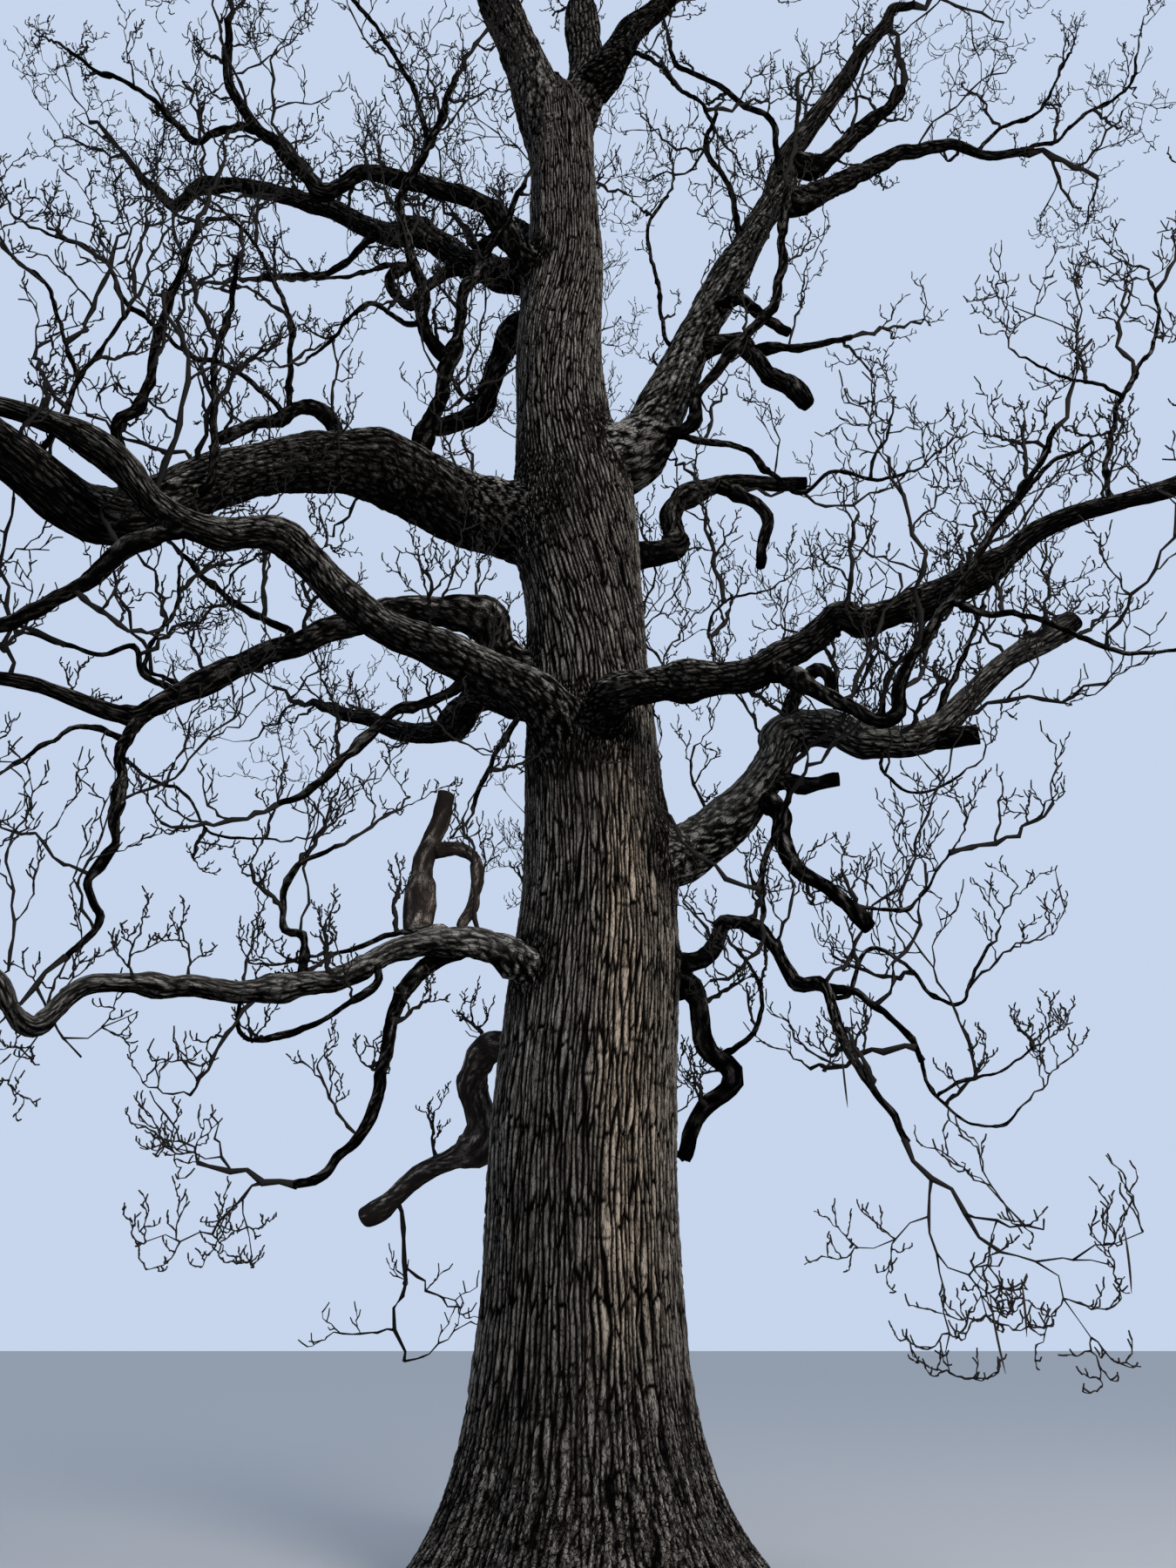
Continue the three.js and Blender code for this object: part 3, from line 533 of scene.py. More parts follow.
# Courses of the limbs
ROWS_PER_LEG = 2
SPOTS_PER_LEG = 30
FEWEST_STEPS = 6
FINE_ROW = 0.012  # from one point of a limb's finished course to the next
UPRIGHT = 0.9  # a way whose climb has more than this sine counts as straight up
LEADER_ROOT = 1.1  # how far down inside the trunk the leaders begin
LEADER_SPREAD = 0.09
LEADER_START = 0.9
LEADER_ROWS = 90
GNARL = 0.28  # how far a slight limb sways from its course, as a share of its thickness
GNARL_GIRTHS = (0.2, 0.5)
GNARL_THINNEST = 0.05
GNARL_AROUND = 4
GNARL_LENGTHS = (3.5, 1.4)  # these and KNOT_LENGTH are in thicknesses of the limb
KNOT_SWELLING = 0.42
KNOT_LENGTH = 2.2
KNOTS_FROM = (0.35, 0.9)  # how high the noise stands where a knot begins and where it is full
KNEE_SWELLING = 0.2
KNEE_TURN = (0.3, 0.95)  # how sharply a limb turns over its own thickness, in radians

# Ridges of bark. Wavers are in widths of a ridge and lengths run along the limb.
PLATE_UNEVEN = 0.55
PLATE_GAP = 0.05  # the share of a row of plates that stays clear of their middles, at each end
RIDGE_WIDTH = 0.058
RIDGE_LENGTHS = (1.0, 0.5)  # below and above the trunk's lowest crotch
RIDGE_SHORTENING = (0.35, 1)  # the least and the most of its length that a narrower ridge keeps
RIDGE_SWAY, RIDGE_SWAY_LENGTH = 0.7, 0.8
RIDGE_WAVER, RIDGE_WAVER_LENGTH = 0.32, 0.22
RIDGE_STEPS = 0.25  # how far neighbouring ridges differ in height
FURROW_WIDTH = 0.023
FURROW_NARROWING = (0.3, 1.1)
SPLIT_LENGTH = 0.28
SPLIT_WAVER, SPLIT_WAVER_LENGTH = 0.5, 0.1
SPLIT_WIDTH = 0.2
SPLIT_DEPTH, SPLIT_DEEPENING = 0.3, 0.35
SPLIT_WIDTHS = (0.055, 0.08)  # between these widths of a ridge its split deepens
SLIVER_RELIEF = 0.2
SLIVER_SHADE = 0.6
SCALE_LENGTH = 0.05
SCALE_SHARE = 0.12  # and no shorter than this share of a ridge
SCALE_WAVER, SCALE_WAVER_LENGTH = 0.7, 0.05
SCALE_UNEVEN = 0.76
SCALE_EDGE = 0.3
SCALE_RELIEF = 0.08
PATCH_RELIEF = 0.25
CRACK_GAP = 0.6
CRACK_WIDTH = 0.012
CRACK_DEPTH = 0.5
CRACK_WAVER, CRACK_WAVER_LENGTH = 0.35, 0.3
CRACK_TEETH, CRACK_TEETH_LENGTH = 0.008, 0.02
GRAIN_RELIEF, GRAIN_LENGTH = 0.14, 0.06
BARK_LEVEL = 0.7  # the height of bark, from 0 to 1, that lies on the limb's own surface

# Bark of the boughs. Ripples are (size, waves round the limb, length of a wave).
ROW_STRETCH = 2.2  # how much longer than wide the faces of the bark are
SHELL_SIDES = [(0.6, 96), (0.35, 60), (0.2, 34), (0.1, 18), (0, 9)]  # (thicker than, sides)
BURIED_SHARE = 0.55  # a bough's bark starts this share of the way out of whatever carries it
BOUGH_RIDGE_WIDTH = 0.042
BOUGH_RIDGE_LENGTH = 0.26
NARROWEST_RIDGE = 0.02
FEWEST_RIDGES = 5
FULL_RIDGE_RADIUS = 0.2  # slighter limbs have narrower ridges
BARK_DEPTH = 0.018
FULL_BARK_RADIUS = 0.3
BARK_THINNING = 0.6
BOUGH_KNOBBLY = 0.35
BOUGH_FLAKY = 0.6
KNOBBLIEST = 0.9
KNOBBLY_FOOT = (0.3, 2.2)  # this and the next two are in thicknesses or radii of the limb
KNOBBLY_END = (0.5, 3)
FOOT_RIPPLE = (0.5, 6, 0.6)
LUMP_RIPPLES = [(0.1, 3, 4), (0.07, 5, 1.6), (0.04, 9, 0.6)]
RUGGED_GIRTHS = (0.15, 0.45)
MOST_RUGGED = 1.8
CUT_RIM, CUT_MIDDLE = 0.97, 0.1
GRAIN_SHIFT = 0.37
PALE_LIMBS = {  # how much lighter and paler each of these limbs is made
    "broken_bough": 1.2, "broken_stub": 0.6, "low_left_bough": 1.1, "left_bough": 0.55,
    "second_left_bough": 0.3, "right_limb": 0.5,
}

# Bark of the trunk
TRUNK_SEED, FLUTE_SEED, FLAKY_SEED, RING_SEED, MERGE_SEED = 7, 71, 73, 74, 75
TRUNK_PIECES = ["trunk_foot", "trunk_middle", "trunk_top"]
TRUNK_SHELL_ROWS = 530
TRUNK_SHELL_SIDES = 480
TRUNK_ROW_CROWDING = 1.3
TRUNK_SHELL_TOP = 15.8
TRUNK_DOME = 1.2
DOME_CLOSING = 0.98
STATION_BLEND = 0.25
TRUNK_BARK_DEPTH = 0.028
TRUNK_RIDGES = (116, 88)  # round the trunk, below and above its lowest crotch
RIDGES_MERGE = (5.2, 6.2)
MERGE_RIPPLE = (0.5, 20, 0.5)
FLUTE_RIPPLES = [(0.022, 9, 1.4), (0.012, 17, 0.6)]
TRUNK_SPIRAL = 11  # ridges that the grain turns over its stretch, and then back over the next
SPIRAL_STRETCH = (6.6, 9.5)
BACK_SPIRAL = 8
BACK_STRETCH = (9.9, 12.6)
TRUNK_FLAKY = 0.4
FLAKY_FOOT = (0.3, 1.9)
FLAKY_RIPPLE = (0.35, 7, 0.4)
FOOT_KNOBBLY = 0.5
SOCKET_SWELLING = 0.3  # of the trunk round a bough, as a share of the bough's radius
SOCKET_REACH = 1.35
RING_KNOBBLY = 0.95
KNOBBLY_RING = (1.1, 2.1)
RING_RIPPLE = (0.3, 40, 0.1)

# Finishes. A pair of LIGHT or ROUGHNESS is what is always there and what is added to it at the most.
RIDGE_SHARPNESS = 1.8
SHADE_LIGHT = (0.75, 0.35)
FIBRE_LIGHT = (0.3, 1.4)
FLAKE_LIGHT = (1.2, 0.8)
FLAKE_EDGE = 0.12
FULL_LIGHT = 0.75
# Painted light: bark that faces up is made lighter and paler and bark that faces down darker; the paleness
# given to a limb adds to it.
TOP_AND_LIMB_LIGHT = 0.4
TOP_AND_LIMB_LIFT = 0.15
TOP_AND_LIMB_LIFT_FROM = (0.4, 2.2)
SHADE_PALENESS, CRUST_PALENESS, TOP_AND_LIMB_PALENESS = 0.3, 0.5, 0.4
PALE_FROM = (0.75, 1.25)
BARK_ROUGHNESS = (0.82, 0.16)
FIBRE_RELIEF, CRUST_RELIEF, FLAKE_RELIEF = 0.6, 0.4, 0.8
BARK_BUMP = {"Strength": 0.6, "Distance": 0.012}
TWIG_BUMP = {"Strength": 0.3, "Distance": 0.004}
FIBRE_SCALE = (60, 60, 9)
FLAKE_SCALE = (62, 62, 13)
FLAKE_SHIFT = 0.02
FLAKE_SHIFT_SCALE = (14, 14, 5)
CRUST_SCALE = (80, 80, 45)
PATCH_SCALE = (0.9, 0.9, 0.5)
KNOB_SCALE = (90, 90, 90)
NOISE_ROUGHNESS = 0.6
# Painted light: a warmer, lighter strip down the front right of the trunk, where the lamp's light falls.
STRIP_ACROSS = (0.93, -0.37)  # the way over the trunk from the left edge of the painted light strip to its right
STRIP_RAGGED = 0.3
STRIP_LEFT = (0.35, 0.6)
STRIP_RIGHT = (0.66, 0.85)
STRIP_FADING = 0.7
STRIP_FRONT = (0.1, 0.45)
STRIP_FOOT = (0.9, 1.9)
STRIP_TOP = (4.4, 7.5)
# The furrow colours are near-black: partly the furrows' own darker bark, partly painted shade in the
# furrows.
TRUNK_SHADED_FURROW = (0.0016, 0.0013, 0.0012, 1)
TRUNK_RIDGE = (0.175, 0.153, 0.132, 1)
TRUNK_PALE = (0.27, 0.243, 0.21, 1)
# Painted light: the warm colour of the lit strip on the trunk.
TRUNK_LIT_STRIP = (0.4, 0.32, 0.24, 1)
# Painted shade: the boughs' bark is a darker copy of the trunk's, as the boughs stand dark against the
# bright sky behind them.
SHADED_BOUGH_FURROW = (0.0012, 0.001, 0.001, 1)
SHADED_BOUGH_RIDGE = (0.085, 0.078, 0.069, 1)
SHADED_BOUGH_PALE = (0.24, 0.225, 0.2, 1)
DEAD_SHADED_FURROW = (0.02, 0.016, 0.014, 1)
DEAD_RIDGE = (0.34, 0.26, 0.21, 1)
DEAD_PALE = (0.6, 0.55, 0.49, 1)
TWIG_COLOURS = {
    "thick": (0.02, 0.018, 0.0165, 1),
    "thin": (0.022, 0.02, 0.018, 1),
    "tip": (0.03, 0.026, 0.023, 1),
}
POD_COLOUR = (0.04, 0.03, 0.024, 1)
ROUGHNESS = {"bark": 0.9, "twig": 0.85, "pod": 0.7, "floor": 1}

# Floor, light and camera
FLOOR_SIZE = 400
FLOOR_COLOUR = (0.5, 0.5, 0.5, 1)
SKY_COLOUR = (0.57, 0.67, 0.84, 1)
SKY_STRENGTH = 1.0
LAMP_PLACE = (9, -13, 11)
LAMP_AIM = (0, 0, 5)
LAMP_SIZE = 7
LAMP_POWER = 2200
LAMP_COLOUR = (1, 0.95, 0.88)
CAMERA_PLACE = (0.0, -9.5, 1.5)
CAMERA_TILT = 25.3
CAMERA_LENS = 27.04
CAMERA_REACH = 400

UP = np.array([0.0, 0.0, 1.0])
RIGHT = np.array([1.0, 0.0, 0.0])
SKEW = np.array([0.31, 0.17, 0.93])
FAR = 9.0
NO_OWNER = -1  # no limb but the trunk
NO_MASS = -1
SPOTS_AT_ONCE = 4000  # which keeps the arrays small
TINY = 1e-6
SHORTEST = 1e-12
SEAM = 1e-4  # how near two corners are that a sheet's edges meet at
DICE_RANGE = 2**32
MASK = np.uint64(DICE_RANGE - 1)
DICE_START = np.uint64(2654435761)
DICE_TIMES, DICE_PLUS = np.uint64(1664525), np.uint64(1013904223)
MIX_ACROSS, MIX_ALONG, MIX_SEED, MIX_AGAIN = 374761393, 668265263, 2246822519, 1274126177
MIX_SHIFTS = (np.uint32(13), np.uint32(16))


def bearing(heading, climb):
    flat = math.cos(math.radians(climb))
    return np.array([
        flat * math.cos(math.radians(heading)),
        flat * math.sin(math.radians(heading)),
        math.sin(math.radians(climb)),
    ])


def unit(vectors):
    return vectors / np.maximum(np.linalg.norm(vectors, axis=-1, keepdims=True), SHORTEST)


def dot(a, b):
    return np.sum(a * b, axis=-1, keepdims=True)


def smooth(low, high, values):
    share = np.clip((values - low) / (high - low), 0, 1)
    return share * share * (3 - 2 * share)


# Noise and bark

def lattice(i, j, seed):
    """A number between 0 and 1 for each spot of a grid of whole numbers."""
    mixed = i.astype(np.int64).astype(np.uint32) * np.uint32(MIX_ACROSS)
    mixed ^= j.astype(np.int64).astype(np.uint32) * np.uint32(MIX_ALONG)
    mixed ^= np.uint32((seed * MIX_SEED) % DICE_RANGE)
    mixed = (mixed ^ (mixed >> MIX_SHIFTS[0])) * np.uint32(MIX_AGAIN)
    mixed ^= mixed >> MIX_SHIFTS[1]
    return mixed / DICE_RANGE


def waves(x, y, around, seed):
    """Smooth noise between -1 and 1 that meets itself after that many steps of x around the limb."""
    i, j = np.floor(x), np.floor(y)
    u, v = smooth(0, 1, x - i), smooth(0, 1, y - j)
    low, high = [
        (1 - u) * lattice(i % around, row, seed) + u * lattice((i + 1) % around, row, seed)
        for row in (j, j + 1)
    ]
    return 2 * ((1 - v) * low + v * high) - 1


def ripple(shape, turn, along, seed, size=1):
    """Noise on a limb from (height, waves round it, length of a wave); size stretches that length."""
    height, around, length = shape
    return height * waves(turn * around + 0 * along, along / (length * size) + 0 * turn, around, seed)


def plates(x, y, around, wide, tall, seed, reach=2, uneven=PLATE_UNEVEN):
    """How far each spot is from the nearest furrow, in metres, and a number for the plate that it is on.
    x counts plates round the limb and y counts them along it."""
    i, j = np.floor(x), np.floor(y)

    def middle(di, dj):
        column, row = i + di, j + dj
        across = column + 0.5 + uneven * (lattice(column % around, row, seed) - 0.5)
        up = row + PLATE_GAP + (1 - 2 * PLATE_GAP) * lattice(column % around, row, seed + 1)
        return across, up, lattice(column % around, row, seed + 2)

    near, px, py, number = np.full(x.shape, FAR), x * 0, x * 0, x * 0
    for dj in (-1, 0, 1):
        for di in (-1, 0, 1):
            qx, qy, mark = middle(di, dj)
            far = (qx - x) ** 2 + (qy - y) ** 2
            closer = far < near
            near = np.where(closer, far, near)
            px = np.where(closer, qx, px)
            py = np.where(closer, qy, py)
            number = np.where(closer, mark, number)
    edge = np.full(x.shape, FAR)
    for dj in range(-reach, reach + 1):
        for di in range(-reach, reach + 1):
            qx, qy, _ = middle(di, dj)
            nx, ny = qx - px, qy - py
            gap = ((px + qx) / 2 - x) * nx + ((py + qy) / 2 - y) * ny
            steep = np.hypot(nx / wide, ny / tall)
            edge = np.where(steep > TINY, np.minimum(edge, gap / np.maximum(steep, TINY)), edge)
    return edge, number


def bark(x, along, around, wide, length, depth, knobbly, seed):
    """Bark on a spread-out limb: how far it stands out, how high it is in its furrow (0 to 1) and a shade
    for each plate. x counts ridges round the limb, wide is the width of one and along is in metres."""
    tall = length * np.clip(wide.mean() / RIDGE_WIDTH, *RIDGE_SHORTENING)
    half, third, double = max(2, around // 2), max(2, around // 3), 2 * around
    sway = RIDGE_SWAY * waves(x * half / around, along / RIDGE_SWAY_LENGTH, half, seed + 11)
    sway += RIDGE_WAVER * waves(x, along / RIDGE_WAVER_LENGTH, around, seed + 12)
    edge, number = plates(x + sway, along / tall, around, wide, tall, seed)
    ridge = smooth(0, FURROW_WIDTH * np.clip(wide / RIDGE_WIDTH, *FURROW_NARROWING), edge)
    waver = SPLIT_WAVER * waves(2 * x, along / SPLIT_WAVER_LENGTH, double, seed + 17)
    split, sliver = plates(
        2 * (x + sway) + waver, along / SPLIT_LENGTH,
        double, wide / 2, SPLIT_LENGTH, seed + 20, reach=1,
    )
    whole = smooth(0, SPLIT_WIDTH * wide, split)
    torn = SPLIT_DEPTH + SPLIT_DEEPENING * smooth(*SPLIT_WIDTHS, wide)
    scale_length = max(SCALE_LENGTH, SCALE_SHARE * length)
    waver = SCALE_WAVER * waves(2 * x, along / SCALE_WAVER_LENGTH, double, seed + 13)
    rough, patch = plates(
        2 * x + waver, along / scale_length,
        double, wide / 2, scale_length, seed + 30, reach=1, uneven=SCALE_UNEVEN,
    )
    scale = smooth(0, SCALE_EDGE * SCALE_LENGTH, rough)
    waver = CRACK_WAVER * waves(x * third / around, along / CRACK_WAVER_LENGTH, third, seed + 14)
    column = np.floor(x * third / around + waver)
    piece = along / CRACK_GAP + lattice(column % third, column * 0, seed + 40)
    place = lattice(column % third, np.floor(piece), seed + 41)
    teeth = CRACK_TEETH * waves(x, along / CRACK_TEETH_LENGTH, around, seed + 15)
    crack = np.abs(piece - np.floor(piece) - place) * CRACK_GAP + teeth
    broken = 1 - smooth(0, CRACK_WIDTH, np.abs(crack))
    fine = waves(x * 3, along / GRAIN_LENGTH, around * 3, seed + 16)
    long_ridges = ridge * (1 - SCALE_RELIEF - torn + torn * whole + SCALE_RELIEF * scale)
    long_ridges = long_ridges * (1 - CRACK_DEPTH * broken) * (1 - SLIVER_RELIEF + SLIVER_RELIEF * sliver)
    height = long_ridges * (1 - knobbly) + scale * (1 - PATCH_RELIEF + PATCH_RELIEF * patch) * knobbly
    height = height * (1 - GRAIN_RELIEF + GRAIN_RELIEF * fine)
    proud = depth * (height - BARK_LEVEL + RIDGE_STEPS * (number - 0.5) * (1 - knobbly))
    return proud, np.clip(height, 0, 1), (1 - SLIVER_SHADE) * number + SLIVER_SHADE * sliver


# Courses of the limbs

def trunk_station(height):
    heights = list(TRUNK_STATIONS)
    at = np.clip(height, 0, TRUNK_TOP)
    return [np.interp(at, heights, [s[i] for s in TRUNK_STATIONS.values()]) for i in range(3)]


def trunk_radius(height):
    return (trunk_station(height)[0] + FLARE_WIDTH * np.exp(-height / FLARE_HEIGHT)) / 2


def trunk_point(height):
    return np.array([trunk_station(height)[1], 0.0, height])


def curve_at(bends, t):
    """Points of the smooth curve through the bends; t counts the legs that lie behind."""
    ends = np.vstack([2 * bends[0] - bends[1], bends, 2 * bends[-1] - bends[-2]])
    i = np.clip(np.floor(t).astype(int), 0, len(bends) - 2)
    w = (t - i)[:, None]
    p0, p1, p2, p3 = ends[i], ends[i + 1], ends[i + 2], ends[i + 3]
    v1, v2 = (p2 - p0) / 2, (p3 - p1) / 2
    return (2 * p1 - 2 * p2 + v1 + v2) * w**3 + (3 * p2 - 3 * p1 - 2 * v1 - v2) * w**2 + v1 * w + p1


def frames_along(points, first_way=None):
    """The way ahead at each point of a course, and two directions square to it, carried without twist."""
    ahead = np.vstack([points[1:], points[-1:]])
    behind = np.vstack([points[:1], points[:-1]])
    way = unit(ahead - behind)
    if first_way is not None:
        way[0] = first_way
    normal = UP if abs(way[0][2]) < UPRIGHT else RIGHT
    normals = []
    for step in way:
        normal = normal - step * np.dot(normal, step)
        normal = normal / np.linalg.norm(normal)
        normals.append(normal)
    normals = np.array(normals)
    return way, normals, np.cross(normals, way)


def trace(limb, points, buried, first_way):
    """The points of a limb with its radius and its frame at each of them."""
    gaps = np.linalg.norm(np.diff(points, axis=0), axis=1)
    along = np.concatenate([[0], np.cumsum(gaps)])
    taper = limb.girth + (limb.tip - limb.girth) * (along / along[-1]) ** limb.hold
    past = np.maximum(0, along - buried) / limb.girth
    collar = 0 if first_way is not None else limb.collar
    radii = taper / 2 * (1 + collar * np.exp(-past))
    way, normal, side = frames_along(points, first_way)
    return SimpleNamespace(
        points=points, along=along, radii=radii, way=way, normal=normal, side=side,
        buried=buried, girth=limb.girth, collar=limb.collar, cut=not limb.twigs,
    )


def one_course(first, second):
    """The course of a limb that is in two solids."""
    points = np.vstack([first.points, second.points[1:]])
    way, normal, side = frames_along(points)
    return SimpleNamespace(
        points=points, along=np.concatenate([first.along, first.along[-1] + second.along[1:]]),
        radii=np.concatenate([first.radii, second.radii[1:]]), way=way, normal=normal, side=side,
        buried=first.buried, girth=first.girth, collar=first.collar, cut=second.cut,
    )


def outer_part(course):
    """The course of a limb from a little inside its parent's bark."""
    kept = course.along >= (BURIED_SHARE * course.buried if course.collar else 0)
    rows = {name: values[kept] for name, values in vars(course).items() if isinstance(values, np.ndarray)}
    return SimpleNamespace(**{**vars(course), **rows})


def leader_course(limb, bends):
    """The course of a leader from well down inside the trunk, whose two halves swell out into the fork."""
    outward = np.array([math.cos(math.radians(limb.legs[0][1])), 0, 0])
    rooted = np.vstack([
        trunk_point(limb.at - LEADER_ROOT),
        trunk_point(limb.at - LEADER_ROOT / 2) + LEADER_SPREAD * outward,
        bends[1:],
    ])
    steps = np.linspace(0, len(rooted) - 1, (len(rooted) - 1) * LEADER_ROWS + 1)
    course = trace(limb, curve_at(rooted, steps), LEADER_ROOT, None)
    course.radii = course.radii * (LEADER_START + (1 - LEADER_START) * smooth(0, LEADER_ROOT, course.along))
    return course


def gnarl(course, seed):
    """Makes a slight limb crooked between its bends, with a swelling here and there."""
    slight = 1 - smooth(*GNARL_GIRTHS, course.radii * 2)
    past = np.clip((course.along - course.buried) / course.girth, 0, 1)
    ending = np.clip((course.along[-1] - course.along) / course.girth, 0, 1)
    thick = max(course.radii.mean() * 2, GNARL_THINNEST)
    zero = course.along * 0
    sway = GNARL * thick * past * ending * slight
    for direction, shift in ((course.normal, 1), (course.side, 2)):
        bend = waves(zero, course.along / (GNARL_LENGTHS[0] * thick), GNARL_AROUND, seed + shift)
        finer = waves(zero, course.along / (GNARL_LENGTHS[1] * thick), GNARL_AROUND, seed + shift + 2)
        bend = bend + finer / 2
        course.points = course.points + direction * (sway * bend)[:, None]
    knots = waves(zero, course.along / (KNOT_LENGTH * thick), GNARL_AROUND, seed + 5)
    knots = smooth(*KNOTS_FROM, knots)
    course.radii = course.radii * (1 + KNOT_SWELLING * slight * past * knots)
    rows = np.arange(len(course.way))
    reach = max(2, int(thick / 2 / FINE_ROW))
    ahead = course.way[np.minimum(rows + reach, rows[-1])]
    behind = course.way[np.maximum(rows - reach, 0)]
    turn = np.arccos(np.clip(dot(ahead, behind)[:, 0], -1, 1))
    course.radii = course.radii * (1 + KNEE_SWELLING * past * ending * smooth(*KNEE_TURN, turn))


def grow_limb(name, limb, seed, grown):
    """A limb with its coarse course, as in the solids, and the fine one that its bark and shoots follow."""
    first_way = None
    if limb.on == "trunk":
        start, buried = trunk_point(limb.at), float(trunk_radius(limb.at))
    else:
        parent = grown[limb.on]
        start = curve_at(parent.bends, np.array([float(limb.at)]))[0]
        radii = parent.coarse.radii
        buried = float(np.interp(limb.at * ROWS_PER_LEG, range(len(radii)), radii))
        if limb.at == len(parent.bends) - 1:
            first_way = parent.coarse.way[-1]
            start, buried = start + first_way * CLEARANCE, 0
    bends = [start]
    for length, heading, climb in limb.legs:
        bends.append(bends[-1] + length * bearing(heading, climb))
    bends = np.array(bends)
    legs = len(limb.legs)
    rows = np.linspace(0, legs, legs * ROWS_PER_LEG + 1)
    dense = np.linspace(0, legs, legs * SPOTS_PER_LEG + 1)
    travel = np.linalg.norm(np.diff(curve_at(bends, dense), axis=0), axis=1)
    travel = np.concatenate([[0], np.cumsum(travel)])
    steps = max(FEWEST_STEPS, int(travel[-1] / FINE_ROW))
    even = np.interp(np.linspace(0, travel[-1], steps + 1), travel, dense)
    coarse = trace(limb, curve_at(bends, rows), buried, first_way)
    rooted = bends.copy()
    if limb.on != "trunk" and first_way is None:
        bearer = grown[limb.on].fine.points
        rooted[0] = bearer[np.argmin(np.linalg.norm(bearer - start, axis=1))]
    fine = trace(limb, curve_at(rooted, even), buried, first_way)
    if limb.on == "trunk" and not limb.collar:
        fine = leader_course(limb, bends)
    gnarl(fine, seed)
    return SimpleNamespace(name=name, limb=limb, bends=bends, buried=buried, coarse=coarse, fine=fine)


# Bark shells

def deselect():
    bpy.ops.object.select_all(action="DESELECT")


def flat_sheet(name, sides, rows):
    """A grid that is about to be rolled round a limb: one more column of corners than it has sides."""
    deselect()
    bpy.ops.mesh.primitive_grid_add(x_subdivisions=sides, y_subdivisions=rows - 1, size=1, calc_uvs=False)
    sheet = bpy.context.object
    sheet.name = sheet.data.name = name
    return sheet


def note(mesh, name, kind, values):
    field = "vector" if kind == "FLOAT_VECTOR" else "value"
    mesh.attributes.new(name, kind, "POINT").data.foreach_set(field, values.astype(np.float32).ravel())


def wrap(sheet, corners, grain, height, shade, flaky, upward, close=True):
    """Rolls the sheet: puts its corners in place, joins its two edges and closes its open ends.
    The note of how far the bark faces up also carries the paleness given to its limb; the finish paints
    upper sides lighter with it, as painted light from above, and undersides darker, as painted shade."""
    mesh = sheet.data
    mesh.vertices.foreach_set("co", corners.astype(np.float32).ravel())
    note(mesh, "grain", "FLOAT_VECTOR", grain)
    for word, values in {"height": height, "shade": shade, "flaky": flaky, "upward": upward}.items():
        note(mesh, word, "FLOAT", values)
    bpy.ops.object.mode_set(mode="EDIT")
    bpy.ops.mesh.select_all(action="SELECT")
    bpy.ops.mesh.remove_doubles(threshold=SEAM)
    if close:
        bpy.ops.mesh.select_all(action="SELECT")
        bpy.ops.mesh.fill_holes(sides=0)
    bpy.ops.object.mode_set(mode="OBJECT")
    bpy.ops.object.shade_smooth()
    return sheet


def bough_shell(name, course, seed, paleness):
    """One limb in its bark."""
    ridge_width = BOUGH_RIDGE_WIDTH if course.collar else RIDGE_WIDTH
    girth, mean = course.girth, course.radii.mean()
    sides = next(count for over, count in SHELL_SIDES if girth >= over)
    step = max(1, round(ROW_STRETCH * 2 * math.pi * mean / sides / FINE_ROW))
    keep = np.unique(np.append(np.arange(0, len(course.points), step), len(course.points) - 1))
    if course.cut:
        keep = np.append(keep, keep[-1])
    turn = np.linspace(0, 1, sides + 1)[None, :]
    along = course.along[keep][:, None]
    radii = course.radii[keep][:, None]
    if course.cut:
        radii[-2:] *= [[CUT_RIM], [CUT_MIDDLE]]
    narrowed = ridge_width * min(1, mean / FULL_RIDGE_RADIUS) ** 0.5
    ridges = max(FEWEST_RIDGES, round(2 * math.pi * mean / max(NARROWEST_RIDGE, narrowed)))
    wide = 2 * math.pi * radii / ridges * np.ones_like(turn)
    ragged = (along - course.buried) / girth + ripple(FOOT_RIPPLE, turn, along, seed + 4, girth)
    torn_foot = (1 - smooth(*KNOBBLY_FOOT, ragged)) * (course.collar > 0)
    knobbly = BOUGH_KNOBBLY + (KNOBBLIEST - BOUGH_KNOBBLY) * torn_foot
    if course.cut:
        ending = (along[-1] - along) / radii + 0 * turn
        knobbly = np.maximum(knobbly, KNOBBLIEST * (1 - smooth(*KNOBBLY_END, ending)))
    rugged = MOST_RUGGED - (MOST_RUGGED - 1) * smooth(*RUGGED_GIRTHS, girth)
    lumps = rugged * sum(
        ripple(shape, turn, along, seed + 5 + number, mean) for number, shape in enumerate(LUMP_RIPPLES)
    )
    depth = BARK_DEPTH * (radii / FULL_BARK_RADIUS) ** BARK_THINNING
    proud, height, shade = bark(
        turn * ridges + 0 * along, along + 0 * turn, ridges, wide, BOUGH_RIDGE_LENGTH, depth, knobbly, seed,
    )
    far = radii * (1 + lumps) + proud
    angle = -2 * math.pi * turn
    across = course.normal[keep][:, None, :] * np.cos(angle)[..., None]
    across = across + course.side[keep][:, None, :] * np.sin(angle)[..., None]
    corners = course.points[keep][:, None, :] + across * far[..., None]
    corners[:, -1] = corners[:, 0]
    grain = np.stack([
        mean * np.cos(angle) + 0 * along,
        mean * np.sin(angle) + 0 * along,
        along + 0 * turn + seed * GRAIN_SHIFT,
    ], axis=-1)
    flaky = np.maximum(knobbly, BOUGH_FLAKY)
    sheet = flat_sheet(name, sides, len(keep))
    # How far the bark faces up, for the painted light on upper sides and painted shade on undersides, plus
    # the limb's paleness.
    return wrap(sheet, corners, grain, height, shade, flaky, across[..., 2] + paleness)


